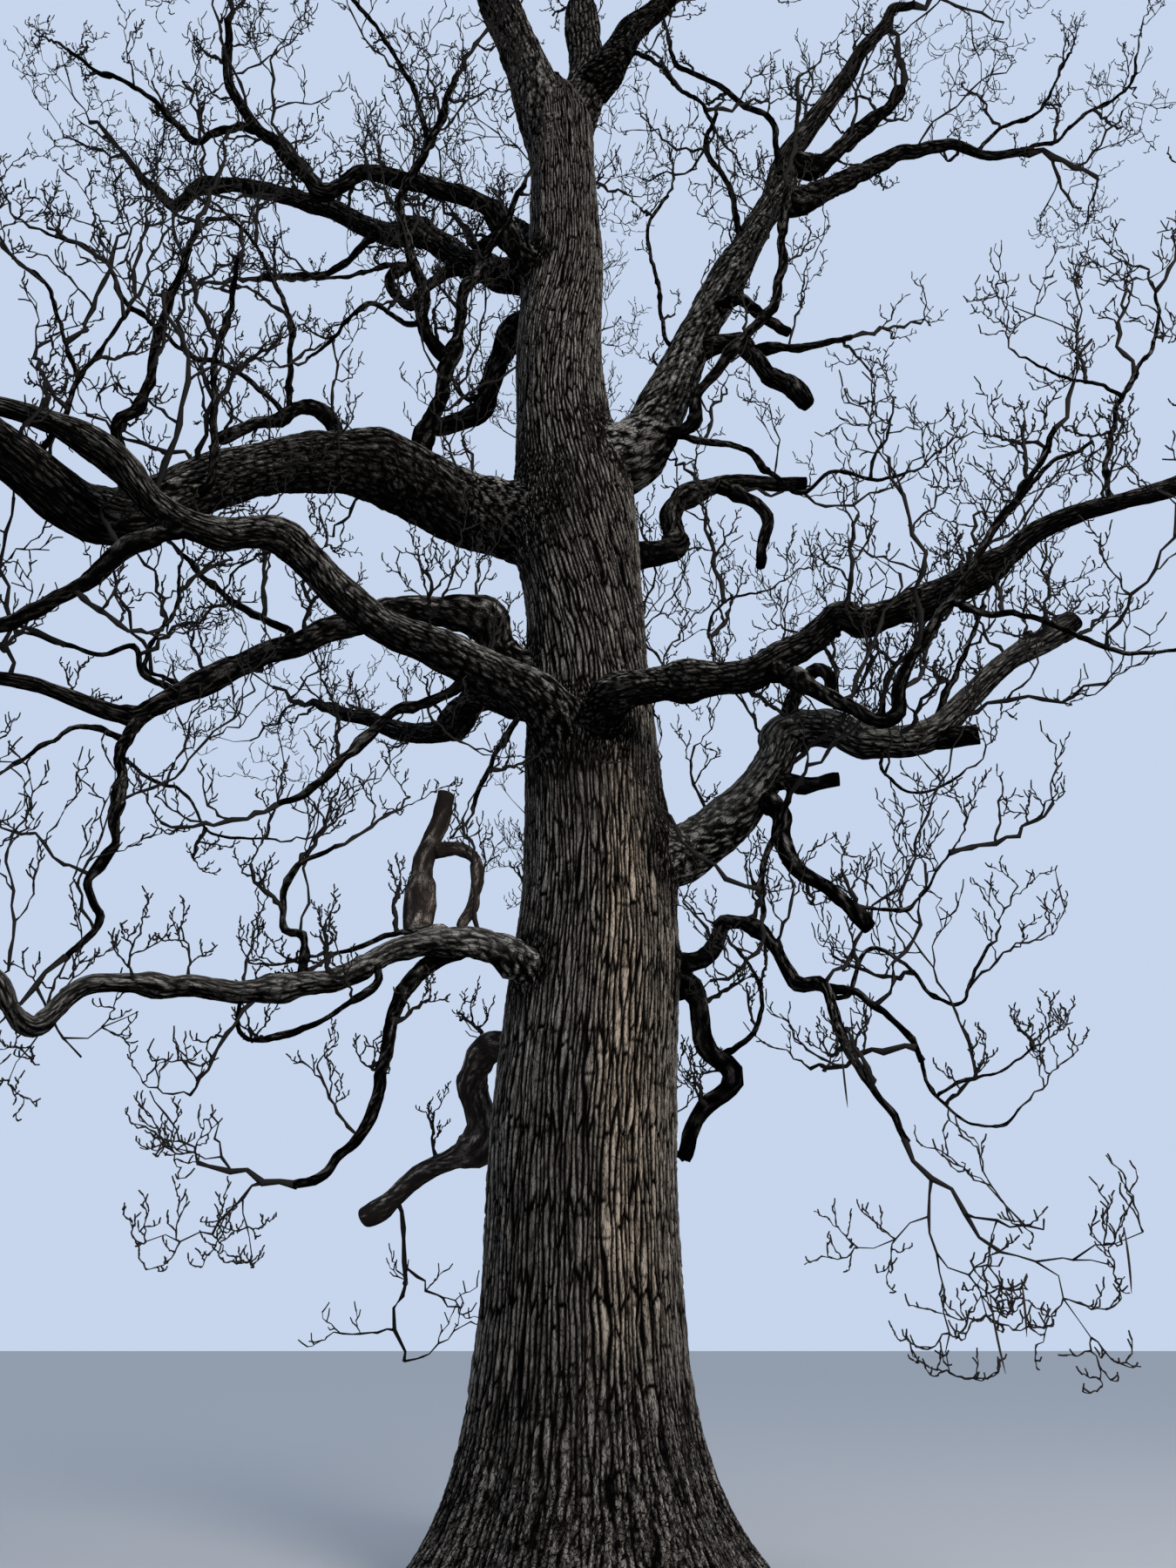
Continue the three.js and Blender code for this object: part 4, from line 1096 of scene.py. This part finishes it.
def trunk_shells(limbs_on_trunk):
    """The trunk in its bark, in three stretches that share their end rows."""
    spots = TRUNK_SHELL_TOP * np.linspace(0, 1, TRUNK_SHELL_ROWS) ** TRUNK_ROW_CROWDING
    turn = np.linspace(0, 1, TRUNK_SHELL_SIDES + 1)[None, :]
    angle = 2 * math.pi * turn
    z = spots[:, None] + 0 * turn
    nudges = (-STATION_BLEND, 0, STATION_BLEND)
    stations = sum(np.array(trunk_station(spots + nudge)) for nudge in nudges) / len(nudges)
    width, lean, depth = (row[:, None] for row in stations)
    stem = (width + FLARE_WIDTH * np.exp(-spots / FLARE_HEIGHT)[:, None]) / 2
    lobes = BUTTRESS_RELIEF * np.exp(-spots / BUTTRESS_HEIGHT)[:, None]
    outline = stem * (1 + lobes * np.cos(BUTTRESSES * angle))
    flutes = sum(ripple(shape, turn, z, FLUTE_SEED + number) for number, shape in enumerate(FLUTE_RIPPLES))
    dome = np.sqrt(1 - DOME_CLOSING * smooth(TRUNK_SHELL_TOP - TRUNK_DOME, TRUNK_SHELL_TOP, z))
    far = (outline + flutes) * dome / np.hypot(np.cos(angle), np.sin(angle) / depth)
    out = np.stack([np.cos(angle) + 0 * z, np.sin(angle) + 0 * z, 0 * z], axis=-1)
    middle = np.stack([lean + 0 * z, 0 * z, z], axis=-1)
    surface = middle + out * far[..., None]
    flaky = 1 - smooth(*FLAKY_FOOT, z + ripple(FLAKY_RIPPLE, turn, z, FLAKY_SEED))
    knobbly = FOOT_KNOBBLY * flaky
    for grown in limbs_on_trunk:
        size = grown.coarse.radii[0]
        start = grown.fine.points[np.searchsorted(grown.fine.along, grown.buried)]
        near = np.linalg.norm(surface - start, axis=-1) / size
        far = far + SOCKET_SWELLING * size * np.exp(-((near / SOCKET_REACH) ** 2))
        ring = 1 - smooth(*KNOBBLY_RING, near + ripple(RING_RIPPLE, turn, z, RING_SEED))
        knobbly = np.maximum(knobbly, RING_KNOBBLY * ring)
    flaky = np.maximum(np.maximum(flaky, knobbly), TRUNK_FLAKY)
    spiral = TRUNK_SPIRAL * smooth(*SPIRAL_STRETCH, z) - BACK_SPIRAL * smooth(*BACK_STRETCH, z)
    low_bark, high_bark = [
        bark(
            turn * ridges + spiral, z, ridges, 2 * math.pi * far / ridges, length, TRUNK_BARK_DEPTH,
            knobbly, TRUNK_SEED,
        )
        for ridges, length in zip(TRUNK_RIDGES, RIDGE_LENGTHS)
    ]
    upper = smooth(*RIDGES_MERGE, z + ripple(MERGE_RIPPLE, turn, z, MERGE_SEED))
    proud, height, shade = [low + upper * (high - low) for low, high in zip(low_bark, high_bark)]
    corners = middle + out * (far + proud)[..., None]
    corners[0, :, 2] = 0
    corners[:, -1] = corners[:, 0]
    grain = np.stack([stem * np.cos(angle), stem * np.sin(angle), z], axis=-1)
    shells = []
    ends = np.linspace(0, TRUNK_SHELL_ROWS - 1, len(TRUNK_PIECES) + 1).astype(int)
    for name, first, last in zip(TRUNK_PIECES, ends, ends[1:]):
        part = slice(first, last + 1)
        sheet = flat_sheet(name, TRUNK_SHELL_SIDES, last + 1 - first)
        notes = [values[part] for values in (corners, grain, height, shade, flaky, 0 * z)]
        shells.append(wrap(sheet, *notes, close=False))
    return shells


# Twigs

def room_at(limbs):
    """Straight stretches of every limb as arrays: start, reach to the end, radius and the limb's number."""
    rows = []
    for height in np.arange(0, TRUNK_TOP, TRUNK_STRETCH):
        end = trunk_point(min(TRUNK_TOP, height + TRUNK_STRETCH))
        rows.append((trunk_point(height), end, float(trunk_radius(height)), NO_OWNER))
    for number, grown in enumerate(limbs):
        points = grown.coarse.points
        rows.extend(zip(points[:-1], points[1:], grown.coarse.radii, [number] * len(points)))
    starts, ends, radii, owners = zip(*rows)
    start, end = np.array(starts, np.float32), np.array(ends, np.float32)
    return SimpleNamespace(
        start=start, reach=end - start, radius=np.array(radii, np.float32), owner=np.array(owners),
    )


def clear_of_limbs(stretches, spots, rooms, owners):
    """Whether each spot keeps that much room to every limb but its owner."""
    clear = np.ones(len(spots), bool)
    length2 = np.sum(stretches.reach**2, axis=1)
    for first in range(0, len(spots), SPOTS_AT_ONCE):
        some = slice(first, first + SPOTS_AT_ONCE)
        away = spots[some, None, :].astype(np.float32) - stretches.start[None]
        share = np.clip(np.einsum("nsk,sk->ns", away, stretches.reach) / length2, 0, 1)
        gap = np.linalg.norm(away - share[..., None] * stretches.reach[None], axis=-1)
        fine = gap > stretches.radius[None] + rooms[some, None]
        fine |= stretches.owner[None] == owners[some, None]
        clear[some] = fine.all(axis=1)
    return clear


def roll(states, active):
    """The next number between 0 and 1 of each active twig's own row of dice."""
    moved = (states * DICE_TIMES + DICE_PLUS) & MASK
    states = np.where(active, moved, states)
    return states, states / DICE_RANGE


def in_space(crown, twigs, spots):
    """Whether each spot lies in the space of its twig's mass, and nearer to that mass than to any other."""
    inside = np.ones(len(spots), bool)
    own = twigs.mass >= 0
    if own.any():
        centre = crown.centres[twigs.mass[own]]
        away2 = np.sum((spots[own] - centre) ** 2, axis=1)
        fits = np.sqrt(away2) <= crown.radii[twigs.mass[own]]
        others2 = np.sum((spots[own][:, None] - crown.centres[None]) ** 2, axis=2)
        apart = np.linalg.norm(centre[:, None] - crown.centres[None], axis=2)
        lead = (others2 - away2[:, None]) / np.maximum(2 * apart, TINY)
        lead[np.arange(len(lead)), twigs.mass[own]] = FAR
        inside[own] = fits & (lead.min(axis=1) >= twigs.radius[own] + TWIG_ROOM)
    return inside


def grow_twigs(crown, twigs, rule, is_stem, is_last, wobble):
    """Every twig of one order, as strings of points, and the twigs that fork from them."""
    count, steps = len(twigs.seed), rule.steps
    states = (twigs.seed * DICE_START) & MASK
    points = np.repeat(twigs.start[:, None, :], steps + 1, axis=1)
    last = np.zeros(count, int)
    heading = twigs.way.copy()
    alive = np.ones(count, bool)
    owner = twigs.owner if is_stem else np.full(count, NO_OWNER - 1)
    for step in range(steps):
        swing = []
        for _ in range(3):
            states, number = roll(states, alive)
            swing.append(number - 0.5)
        if not (is_stem and step == 0):
            heading = unit(heading + rule.wander * np.stack(swing, axis=1) + UP * rule.rise / steps)
        before = points[:, step]
        ahead = before + heading * (twigs.length / steps)[:, None]
        room = twigs.radius + TWIG_ROOM
        fits = ahead[:, 2] > GROUND_ROOM
        fits &= np.all((ahead > crown.low) & (ahead < crown.high), axis=1)
        fits &= in_space(crown, twigs, ahead)
        for spots in (ahead, (before + ahead) / 2):
            test = alive & fits
            fits[test] = clear_of_limbs(crown.stretches, spots[test], room[test], owner[test])
        alive = alive & fits
        last = np.where(alive, step + 1, last)
        points[:, step + 1] = np.where(alive[:, None], ahead, points[:, step])
    kept = last + 1 >= min(FEWEST_POINTS, steps + 1)
    rows = np.arange(steps + 1)
    way = unit(points[:, np.minimum(rows + 1, steps)] - points[:, np.maximum(rows - 1, 0)])
    if is_stem:
        way[:, 0] = twigs.way
    normal = np.where(np.abs(way[:, 0, 2:3]) < UPRIGHT, UP, RIGHT)
    next_ones = []
    for row in range(steps + 1):
        normal = unit(normal - way[:, row] * dot(normal, way[:, row]))
        side = np.cross(normal, way[:, row])
        if row < rule.first:
            continue
        forks = kept & (last >= row)
        states, turned = roll(states, forks)
        states, spread = roll(states, forks)
        states, longer = roll(states, forks)
        turn = np.radians(FORK_TURN * row + TURN_VARY * turned)
        lean = np.radians(rule.spread + SPREAD_VARY * (spread - 0.5))
        thin = twigs.radius * (1 + (TWIG_TAPER - 1) * row / np.maximum(last, 1))
        for half_turn in (0, math.pi) if rule.pairs else (0,):
            out = normal * np.cos(turn + half_turn)[:, None] + side * np.sin(turn + half_turn)[:, None]
            shift = row + SEEDS_A_TWIG // 2 * (half_turn > 0)
            next_ones.append(SimpleNamespace(
                start=points[forks, row],
                way=(way[:, row] * np.cos(lean)[:, None] + out * np.sin(lean)[:, None])[forks],
                length=(twigs.length * rule.length * (1 + FORK_VARY * (longer - 0.5)))[forks],
                radius=np.maximum(thin * rule.girth, THINNEST)[forks],
                seed=(twigs.seed[forks] * np.uint64(SEEDS_A_TWIG) + np.uint64(shift)) & MASK,
                mass=twigs.mass[forks],
                owner=twigs.owner[forks],
                group=twigs.group[forks],
            ))
    strings = SimpleNamespace(
        points=points[kept], last=last[kept], radius=twigs.radius[kept],
        group=twigs.group[kept], owner=twigs.owner[kept], crooked=not is_last,
        taper=BLUNT_TAPER if is_last else TWIG_TAPER,
    )
    if not is_last:
        middles = (points[:, 1:] + points[:, :-1]) / 2
        stretch = (twigs.length / steps)[:, None, None]
        crooked = np.zeros((count, 2 * steps + 1, 3))
        crooked[:, ::2] = points
        crooked[:, 1::2] = middles + wobble.uniform(-1, 1, middles.shape) * TWIG_CROOK * stretch
        strings.points, strings.last = crooked[kept], 2 * last[kept]
    return strings, SimpleNamespace(**{
        key: np.concatenate([getattr(one, key) for one in next_ones]) for key in vars(next_ones[0])
    })


def tubes(strings, sides, chosen):
    """Corners and faces of the chosen strings of points as thin closed tubes."""
    corners, faces, base = [], [], 0
    turn = 2 * np.pi * np.arange(sides) / sides
    for last in np.unique(strings.last[chosen]):
        some = chosen & (strings.last == last)
        points = strings.points[some][:, : last + 1]
        count, rows = len(points), last + 1
        ahead = np.concatenate([points[:, 1:], points[:, -1:]], axis=1)
        behind = np.concatenate([points[:, :1], points[:, :-1]], axis=1)
        way = unit(ahead - behind)
        normal = unit(np.cross(way, SKEW))
        side = np.cross(way, normal)
        radius = strings.radius[some][:, None] * (1 + (strings.taper - 1) * np.arange(rows) / last)
        if strings.crooked:
            radius = radius * (1 + NODE_SWELLING * np.cos(np.pi * np.arange(rows)))
        ring = normal[:, :, None] * np.cos(turn)[:, None] + side[:, :, None] * np.sin(turn)[:, None]
        corners.append((points[:, :, None] + ring * radius[:, :, None, None]).reshape(-1, 3))
        first = base + (np.arange(count) * rows * sides)[:, None, None]
        row = (np.arange(rows - 1) * sides)[None, :, None]
        here = np.arange(sides)[None, None, :]
        there = (here + 1) % sides
        low, low_next = first + row + here, first + row + there
        walls = np.stack([low, low_next, low_next + sides, low + sides], axis=-1).reshape(-1, 4)
        faces.extend(walls.tolist())
        ends = (base + np.arange(count) * rows * sides)[:, None]
        foot = ends + np.arange(sides)[::-1][None]
        tip = ends + (rows - 1) * sides + np.arange(sides)[None]
        faces.extend(foot.tolist())
        faces.extend(tip.tolist())
        base += count * rows * sides
    return np.concatenate(corners), faces


# Finishes

class Link:
    """A socket in a finish. Sums on it add Math nodes, and node() adds a node of any other kind."""

    def __init__(self, tree, socket=None):
        self.tree = tree
        self.socket = socket

    def node(self, kind, settings=None, sockets=None, out=0):
        made = self.tree.nodes.new("ShaderNode" + kind)
        for name, value in (settings or {}).items():
            setattr(made, name, value)
        for name, value in (sockets or {}).items():
            if isinstance(value, Link):
                self.tree.links.new(value.socket, made.inputs[name])
            else:
                made.inputs[name].default_value = value
        return Link(self.tree, made.outputs[out])

    def feed(self, socket):
        self.tree.links.new(self.socket, socket)

    def maths(self, operation, first, second=0.0):
        return self.node("Math", {"operation": operation}, {0: first, 1: second})

    def __add__(self, other):
        return self.maths("ADD", self, other)

    def __radd__(self, other):
        return self.maths("ADD", other, self)

    def __sub__(self, other):
        return self.maths("SUBTRACT", self, other)

    def __rsub__(self, other):
        return self.maths("SUBTRACT", other, self)

    def __mul__(self, other):
        return self.maths("MULTIPLY", self, other)

    def __rmul__(self, other):
        return self.maths("MULTIPLY", other, self)

    def __truediv__(self, other):
        return self.maths("DIVIDE", self, other)

    def __pow__(self, other):
        return self.maths("POWER", self, other)

    def between(self, low, high):
        """This number as a share of the way from low to high, eased at both ends."""
        return self.node("MapRange", {"interpolation_type": "SMOOTHSTEP"}, {0: self, 1: low, 2: high})

    def scaled(self, always, more):
        """This number times more, on top of what is always there."""
        return always + more * self

    def colour(self, none, full):
        """The colour that is this share of the way from one colour to another."""
        return self.node("Mix", {"data_type": "RGBA"}, {0: self, 6: none, 7: full}, out=2)

    def stretched(self, scale):
        return self.node("VectorMath", {"operation": "MULTIPLY"}, {0: self, 1: scale})

    def shifted(self, amount, far):
        """This place moved along all three axes by a number round a half, times far."""
        return self.node("VectorMath", {"operation": "ADD"}, {0: self, 1: (amount - 0.5) * far})

    def noise(self, scale, detail):
        sockets = {"Vector": self.stretched(scale), "Scale": 1, "Detail": detail}
        return self.node("TexNoise", None, {**sockets, "Roughness": NOISE_ROUGHNESS})

    def cells(self, feature, out):
        sockets = {"Vector": self, "Scale": 1}
        return self.node("TexVoronoi", {"feature": feature}, sockets, out)

    def axes(self):
        return [self.node("SeparateXYZ", None, {0: self}, out=axis) for axis in range(3)]


def new_finish(name, roughness):
    material = bpy.data.materials.new(name)
    material.use_nodes = True
    shader = material.node_tree.nodes["Principled BSDF"]
    shader.inputs["Roughness"].default_value = roughness
    shader.inputs["Specular IOR Level"].default_value = 0
    return material, shader, Link(material.node_tree)


def attribute(start, name, out="Fac"):
    return start.node("Attribute", {"attribute_name": name}, out=out)


def bark_finish(name, shaded_furrow, ridge, pale, lit_strip=None):
    """Bark whose furrows are near-black, partly their own darker bark and partly painted shade, and whose
    ridges grow lighter towards their tops, with fibres along the limb and paler weathered plates, more of
    them on upper sides as painted light from above.
    The last argument is the colour of the band down the front right of the trunk: painted light where the
    lamp falls, warmer and lighter than the bark round it."""
    material, shader, start = new_finish(name, ROUGHNESS["bark"])
    grain = attribute(start, "grain", "Vector")
    height, shade, flaky, upward = [attribute(start, one) for one in ("height", "shade", "flaky", "upward")]
    place = start.node("TexCoord", out="Object")
    fibres = grain.noise(FIBRE_SCALE, detail=4)
    crust = grain.noise(CRUST_SCALE, detail=3)
    patches = place.noise(PATCH_SCALE, detail=3)
    spots = grain.shifted(grain.noise(FLAKE_SHIFT_SCALE, detail=2), FLAKE_SHIFT).stretched(FLAKE_SCALE)
    edge = spots.cells("DISTANCE_TO_EDGE", out="Distance")
    tint = spots.cells("F1", out="Color").axes()[0]
    flake = edge.between(0, FLAKE_EDGE) * tint.scaled(*FLAKE_LIGHT)
    # Painted shade: the colour darkens from the ridge tops down to near-black in the furrows, partly the
    # furrows' own darker bark.
    light = height**RIDGE_SHARPNESS * shade.scaled(*SHADE_LIGHT) * fibres.scaled(*FIBRE_LIGHT)
    light = light * (1 - flaky * (1 - flake))
    # Painted light from above: upper sides of the limbs lighter and paler, undersides darker, and limbs
    # given a paleness lighter still.
    light = light * upward.scaled(1, TOP_AND_LIMB_LIGHT) + TOP_AND_LIMB_LIFT * upward.between(*TOP_AND_LIMB_LIFT_FROM)
    pale_share = SHADE_PALENESS * shade + patches + CRUST_PALENESS * crust + TOP_AND_LIMB_PALENESS * upward
    top = pale_share.between(*PALE_FROM).colour(ridge, pale)
    # Painted light: a warmer, lighter band on the trunk's front right, over the heights where the lamp falls
    # most.
    if lit_strip:
        x, y, z = place.axes()
        turned = x * STRIP_ACROSS[0] + y * STRIP_ACROSS[1] + patches * STRIP_RAGGED
        across = turned.between(*STRIP_LEFT) * (1 - STRIP_FADING * turned.between(*STRIP_RIGHT))
        front = (0 - y).between(*STRIP_FRONT)
        band = z.between(*STRIP_FOOT) * (1 - z.between(*STRIP_TOP))
        top = (across * front * band).colour(top, lit_strip)
    light.between(0, FULL_LIGHT).colour(shaded_furrow, top).feed(shader.inputs["Base Color"])
    fibres.scaled(*BARK_ROUGHNESS).feed(shader.inputs["Roughness"])
    relief = FIBRE_RELIEF * fibres + CRUST_RELIEF * crust + FLAKE_RELIEF * flaky * flake
    start.node("Bump", None, {"Height": relief, **BARK_BUMP}).feed(shader.inputs["Normal"])
    return material


def plain_finish(name, colour, roughness):
    material, shader, start = new_finish(name, roughness)
    shader.inputs["Base Color"].default_value = colour
    knobs = start.node("TexCoord", out="Object").noise(KNOB_SCALE, detail=2)
    start.node("Bump", None, {"Height": knobs, **TWIG_BUMP}).feed(shader.inputs["Normal"])
    return material


# The tree

def dress(piece, materials, nodes):
    for material in materials:
        piece.data.materials.append(material)
    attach(piece, "root")
    if nodes:
        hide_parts(*nodes)


def joined(name, pieces):
    deselect()
    for piece in pieces:
        piece.select_set(True)
    bpy.context.view_layer.objects.active = pieces[0]
    bpy.ops.object.join()
    pieces[0].name = pieces[0].data.name = name
    return pieces[0]


def made_of(name, corners, faces):
    """A smooth piece of many small parts, from all their corners and faces."""
    mesh = bpy.data.meshes.new(name)
    mesh.from_pydata(np.concatenate(corners), [], faces)
    mesh.polygons.foreach_set("use_smooth", [True] * len(faces))
    piece = bpy.data.objects.new(name, mesh)
    bpy.context.collection.objects.link(piece)
    return piece


GROUPS = ["top", "right_high", "right_low", "left_high", "left_low", "back"]
SIDES = {"top": TOP_BOUGHS, "right": RIGHT_BOUGHS, "left": LEFT_BOUGHS, "back": BACK_BOUGHS}
grown, group_of = {}, {}
for side, table in [*SIDES.items(), ("", BRANCHES)]:
    for name, one in table.items():
        grown[name] = grow_limb(name, one, LIMB_SEED + LIMB_SEED_STEP * len(grown), grown)
        group = side if side in GROUPS else side + ("_high" if one.at > HIGH_FROM else "_low")
        group_of[name] = GROUPS.index(group) if one.on == "trunk" else group_of[one.on]
limbs = list(grown.values())

# The trunk's finish carries the painted light strip.
trunk_bark = bark_finish("trunk_bark", TRUNK_SHADED_FURROW, TRUNK_RIDGE, TRUNK_PALE, TRUNK_LIT_STRIP)
leader_bark = bark_finish("leader_bark", TRUNK_SHADED_FURROW, TRUNK_RIDGE, TRUNK_PALE)
# Painted shade: the boughs take a darker copy of the trunk's colours.
bough_bark = bark_finish("bough_bark", SHADED_BOUGH_FURROW, SHADED_BOUGH_RIDGE, SHADED_BOUGH_PALE)
dead_bark = bark_finish("dead_bark", DEAD_SHADED_FURROW, DEAD_RIDGE, DEAD_PALE)
twig_finishes = [
    plain_finish(f"twig_{tint}", colour, ROUGHNESS["twig"]) for tint, colour in TWIG_COLOURS.items()
]
pod_finish = plain_finish("pod_husk", POD_COLOUR, ROUGHNESS["pod"])

on_trunk = [one for one in limbs if one.limb.on == "trunk" and one.limb.collar]
for piece in trunk_shells(on_trunk):
    dress(piece, [trunk_bark], ["trunk"])

shells = {name: [] for name in [*GROUPS, "leader", "dead"]}
replaced = {name: [] for name in shells}
for number, one in enumerate(limbs):
    kind = GROUPS[group_of[one.name]]
    if one.name in DEAD_LIMBS:
        kind = "dead"
    elif one.name in LEADERS:
        kind = "leader"
    if one.name not in BRANCHES:
        replaced[kind].append(one.name)
    if one.name in SPLIT_LIMBS.values():
        continue
    course = one.fine
    if one.name in SPLIT_LIMBS:
        course = one_course(grown[SPLIT_LIMBS[one.name]].fine, course)
    paleness = PALE_LIMBS.get(one.name, 0)
    shells[kind].append(bough_shell(one.name + "_bark", outer_part(course), number + 1, paleness))
for kind, pieces in shells.items():
    material = {"leader": leader_bark, "dead": dead_bark}.get(kind, bough_bark)
    slot = "dead_bark" if kind == "dead" else "bough_bark"
    dress(joined(kind + "_boughs", pieces), [material], replaced[kind])

with_twigs = [one for one in limbs if one.limb.twigs and one.name not in BRANCHES]
crown = SimpleNamespace(
    centres=np.array([
        one.coarse.points[-1] + one.coarse.way[-1] * one.limb.twigs * SPACE_CENTRE for one in with_twigs
    ]),
    radii=np.array([one.limb.twigs * SPACE_RADIUS for one in with_twigs]),
    low=np.array(CAD_BOX[0]),
    high=np.array(CAD_BOX[1]),
    stretches=room_at(limbs),
)
wobble = np.random.default_rng(MASS_WOBBLE)


def seedlings(rows):
    """Twigs about to grow, from rows of (start, way, length, radius, seed, mass, owner, group)."""
    columns = list(zip(*rows))
    kinds = [float, float, float, float, np.uint64, int, int, int]
    names = ["start", "way", "length", "radius", "seed", "mass", "owner", "group"]
    return SimpleNamespace(**{n: np.array(c, k) for n, c, k in zip(names, columns, kinds)})


def grow_all(twigs, orders):
    """All orders of twigs from the first, as a list of strings of points."""
    kinds = []
    for number, rule in enumerate(orders):
        is_last = number == len(orders) - 1
        strings, twigs = grow_twigs(crown, twigs, rule, number == 0, is_last, wobble)
        kinds.append(strings)
    return kinds


stems = seedlings([
    (
        one.coarse.points[-1] - one.coarse.way[-1] * STEM_ROOT, one.coarse.way[-1],
        one.limb.twigs * STEM_SHARE, one.limb.tip / 2 * STEM_GIRTH, index + 1, index,
        limbs.index(one), group_of[one.name],
    )
    for index, one in enumerate(with_twigs)
])
shoot_rows = []
dice = np.random.default_rng(SHOOT_DICE)
for number, one in enumerate(limbs):
    if not one.limb.shoots:
        continue
    course = one.fine
    whose = (NO_MASS, number, group_of[one.name])
    place = max(one.buried + SHOOTS_PAST_BARK, SHOOTS_FROM * course.along[-1])
    count = 0
    while place < course.along[-1]:
        row = int(np.searchsorted(course.along, place))
        turn = math.radians(FORK_TURN) * count + dice.uniform(-SHOOT_TURN, SHOOT_TURN)
        out = course.normal[row] * math.cos(turn) + course.side[row] * math.sin(turn)
        way = out + SHOOT_FORWARD * course.way[row] + SHOOT_RISE * UP
        longer = (SHOOT_LENGTH[1] - SHOOT_LENGTH[0]) * dice.random() ** 2
        shoot_rows.append((
            course.points[row], way / np.linalg.norm(way), SHOOT_LENGTH[0] + longer + course.radii[row],
            dice.uniform(*SHOOT_RADIUS), SHOOT_SEEDS + len(shoot_rows), *whose,
        ))
        place += one.limb.shoots * dice.uniform(*SHOOT_GAPS)
        count += 1
    if one.name in BRANCHES and one.limb.twigs:
        shoot_rows.append((
            course.points[-1], course.way[-1], one.limb.twigs, one.limb.tip * TIP_SHARE,
            SHOOT_SEEDS + len(shoot_rows), *whose,
        ))
strings_of = {
    "twigs": grow_all(stems, MASS_ORDERS),
    "shoots": grow_all(seedlings(shoot_rows), SHOOT_ORDERS),
}
for kind, orders in strings_of.items():
    for group, name in enumerate(GROUPS):
        corners, faces, tints, base = [], [], [], 0
        for rank, strings in enumerate(orders):
            chosen = strings.group == group
            if not chosen.any():
                continue
            some, walls = tubes(strings, TUBE_SIDES[min(rank, len(TUBE_SIDES) - 1)], chosen)
            corners.append(some)
            faces.extend([[corner + base for corner in face] for face in walls])
            tints.extend([min(rank // ORDERS_A_TINT, len(twig_finishes) - 1)] * len(walls))
            base += len(some)
        piece = made_of(f"{name}_{kind}", corners, faces)
        piece.data.polygons.foreach_set("material_index", tints)
        nodes = [one.name + "_twigs" for one in with_twigs if group_of[one.name] == group]
        dress(piece, twig_finishes, nodes if kind == "twigs" else [])

# Pods hang from the ends of the low twigs on the right.
bearers = [number for number, one in enumerate(limbs) if one.name in POD_BEARERS]
low_ends = []
for kind, first in POD_ORDERS.items():
    for strings in strings_of[kind][first:]:
        bears = np.isin(strings.owner, bearers)
        low_ends.extend(strings.points[bears, strings.last[bears]])
low_ends = sorted((end for end in low_ends if end[0] > PODS_FROM), key=lambda end: end[0])
drops = np.linspace(0, 1, len(POD_GIRTHS))[:, None]
girth = POD_RADIUS * np.array(POD_GIRTHS)[:, None, None]
turn = 2 * np.pi * np.arange(POD_SIDES) / POD_SIDES
ring = np.stack([np.cos(turn), np.sin(turn), 0 * turn], axis=-1)
corners, faces = [], []
for end in low_ends[:: len(low_ends) // (PODS - 1)]:
    length, sway = dice.uniform(*POD_LENGTH), dice.uniform(-POD_SWAY, POD_SWAY, 3)
    course = end - UP * length * drops + sway * np.array([1, 1, 0]) * drops**2
    corners.append((course[:, None] + girth * ring).reshape(-1, 3))
    spots = np.arange(len(corners[-1])).reshape(-1, POD_SIDES) + (len(corners) - 1) * len(corners[-1])
    after = np.roll(spots, -1, axis=1)
    walls = np.stack([spots[:-1], spots[1:], after[1:], after[:-1]], axis=-1)
    faces += [*walls.reshape(-1, 4).tolist(), spots[0].tolist(), spots[-1][::-1].tolist()]
dress(made_of("pods", corners, faces), [pod_finish], [])

# Floor, light and camera

deselect()
bpy.ops.mesh.primitive_plane_add(size=FLOOR_SIZE)
floor = bpy.context.object
floor.name = "floor"
floor.data.materials.append(plain_finish("floor", FLOOR_COLOUR, ROUGHNESS["floor"]))

world = bpy.data.worlds.new("sky")
bpy.context.scene.world = world
world.use_nodes = True
sky = world.node_tree.nodes["Background"]
sky.inputs["Color"].default_value = SKY_COLOUR
sky.inputs["Strength"].default_value = SKY_STRENGTH

bulb = bpy.data.lights.new("front_right_light", "AREA")
bulb.shape = "DISK"
bulb.size = LAMP_SIZE
bulb.energy = LAMP_POWER
bulb.color = LAMP_COLOUR
lamp = bpy.data.objects.new("front_right_light", bulb)
bpy.context.collection.objects.link(lamp)
lamp.location = LAMP_PLACE
lamp.rotation_euler = (Vector(LAMP_AIM) - lamp.location).to_track_quat("-Z", "Y").to_euler()

lens = bpy.data.cameras.new("camera")
lens.lens = CAMERA_LENS
lens.clip_end = CAMERA_REACH
camera = bpy.data.objects.new("camera", lens)
bpy.context.collection.objects.link(camera)
camera.location = CAMERA_PLACE
camera.rotation_euler = (math.radians(90 + CAMERA_TILT), 0, 0)
bpy.context.scene.camera = camera
bpy.context.scene.view_settings.view_transform = "Standard"
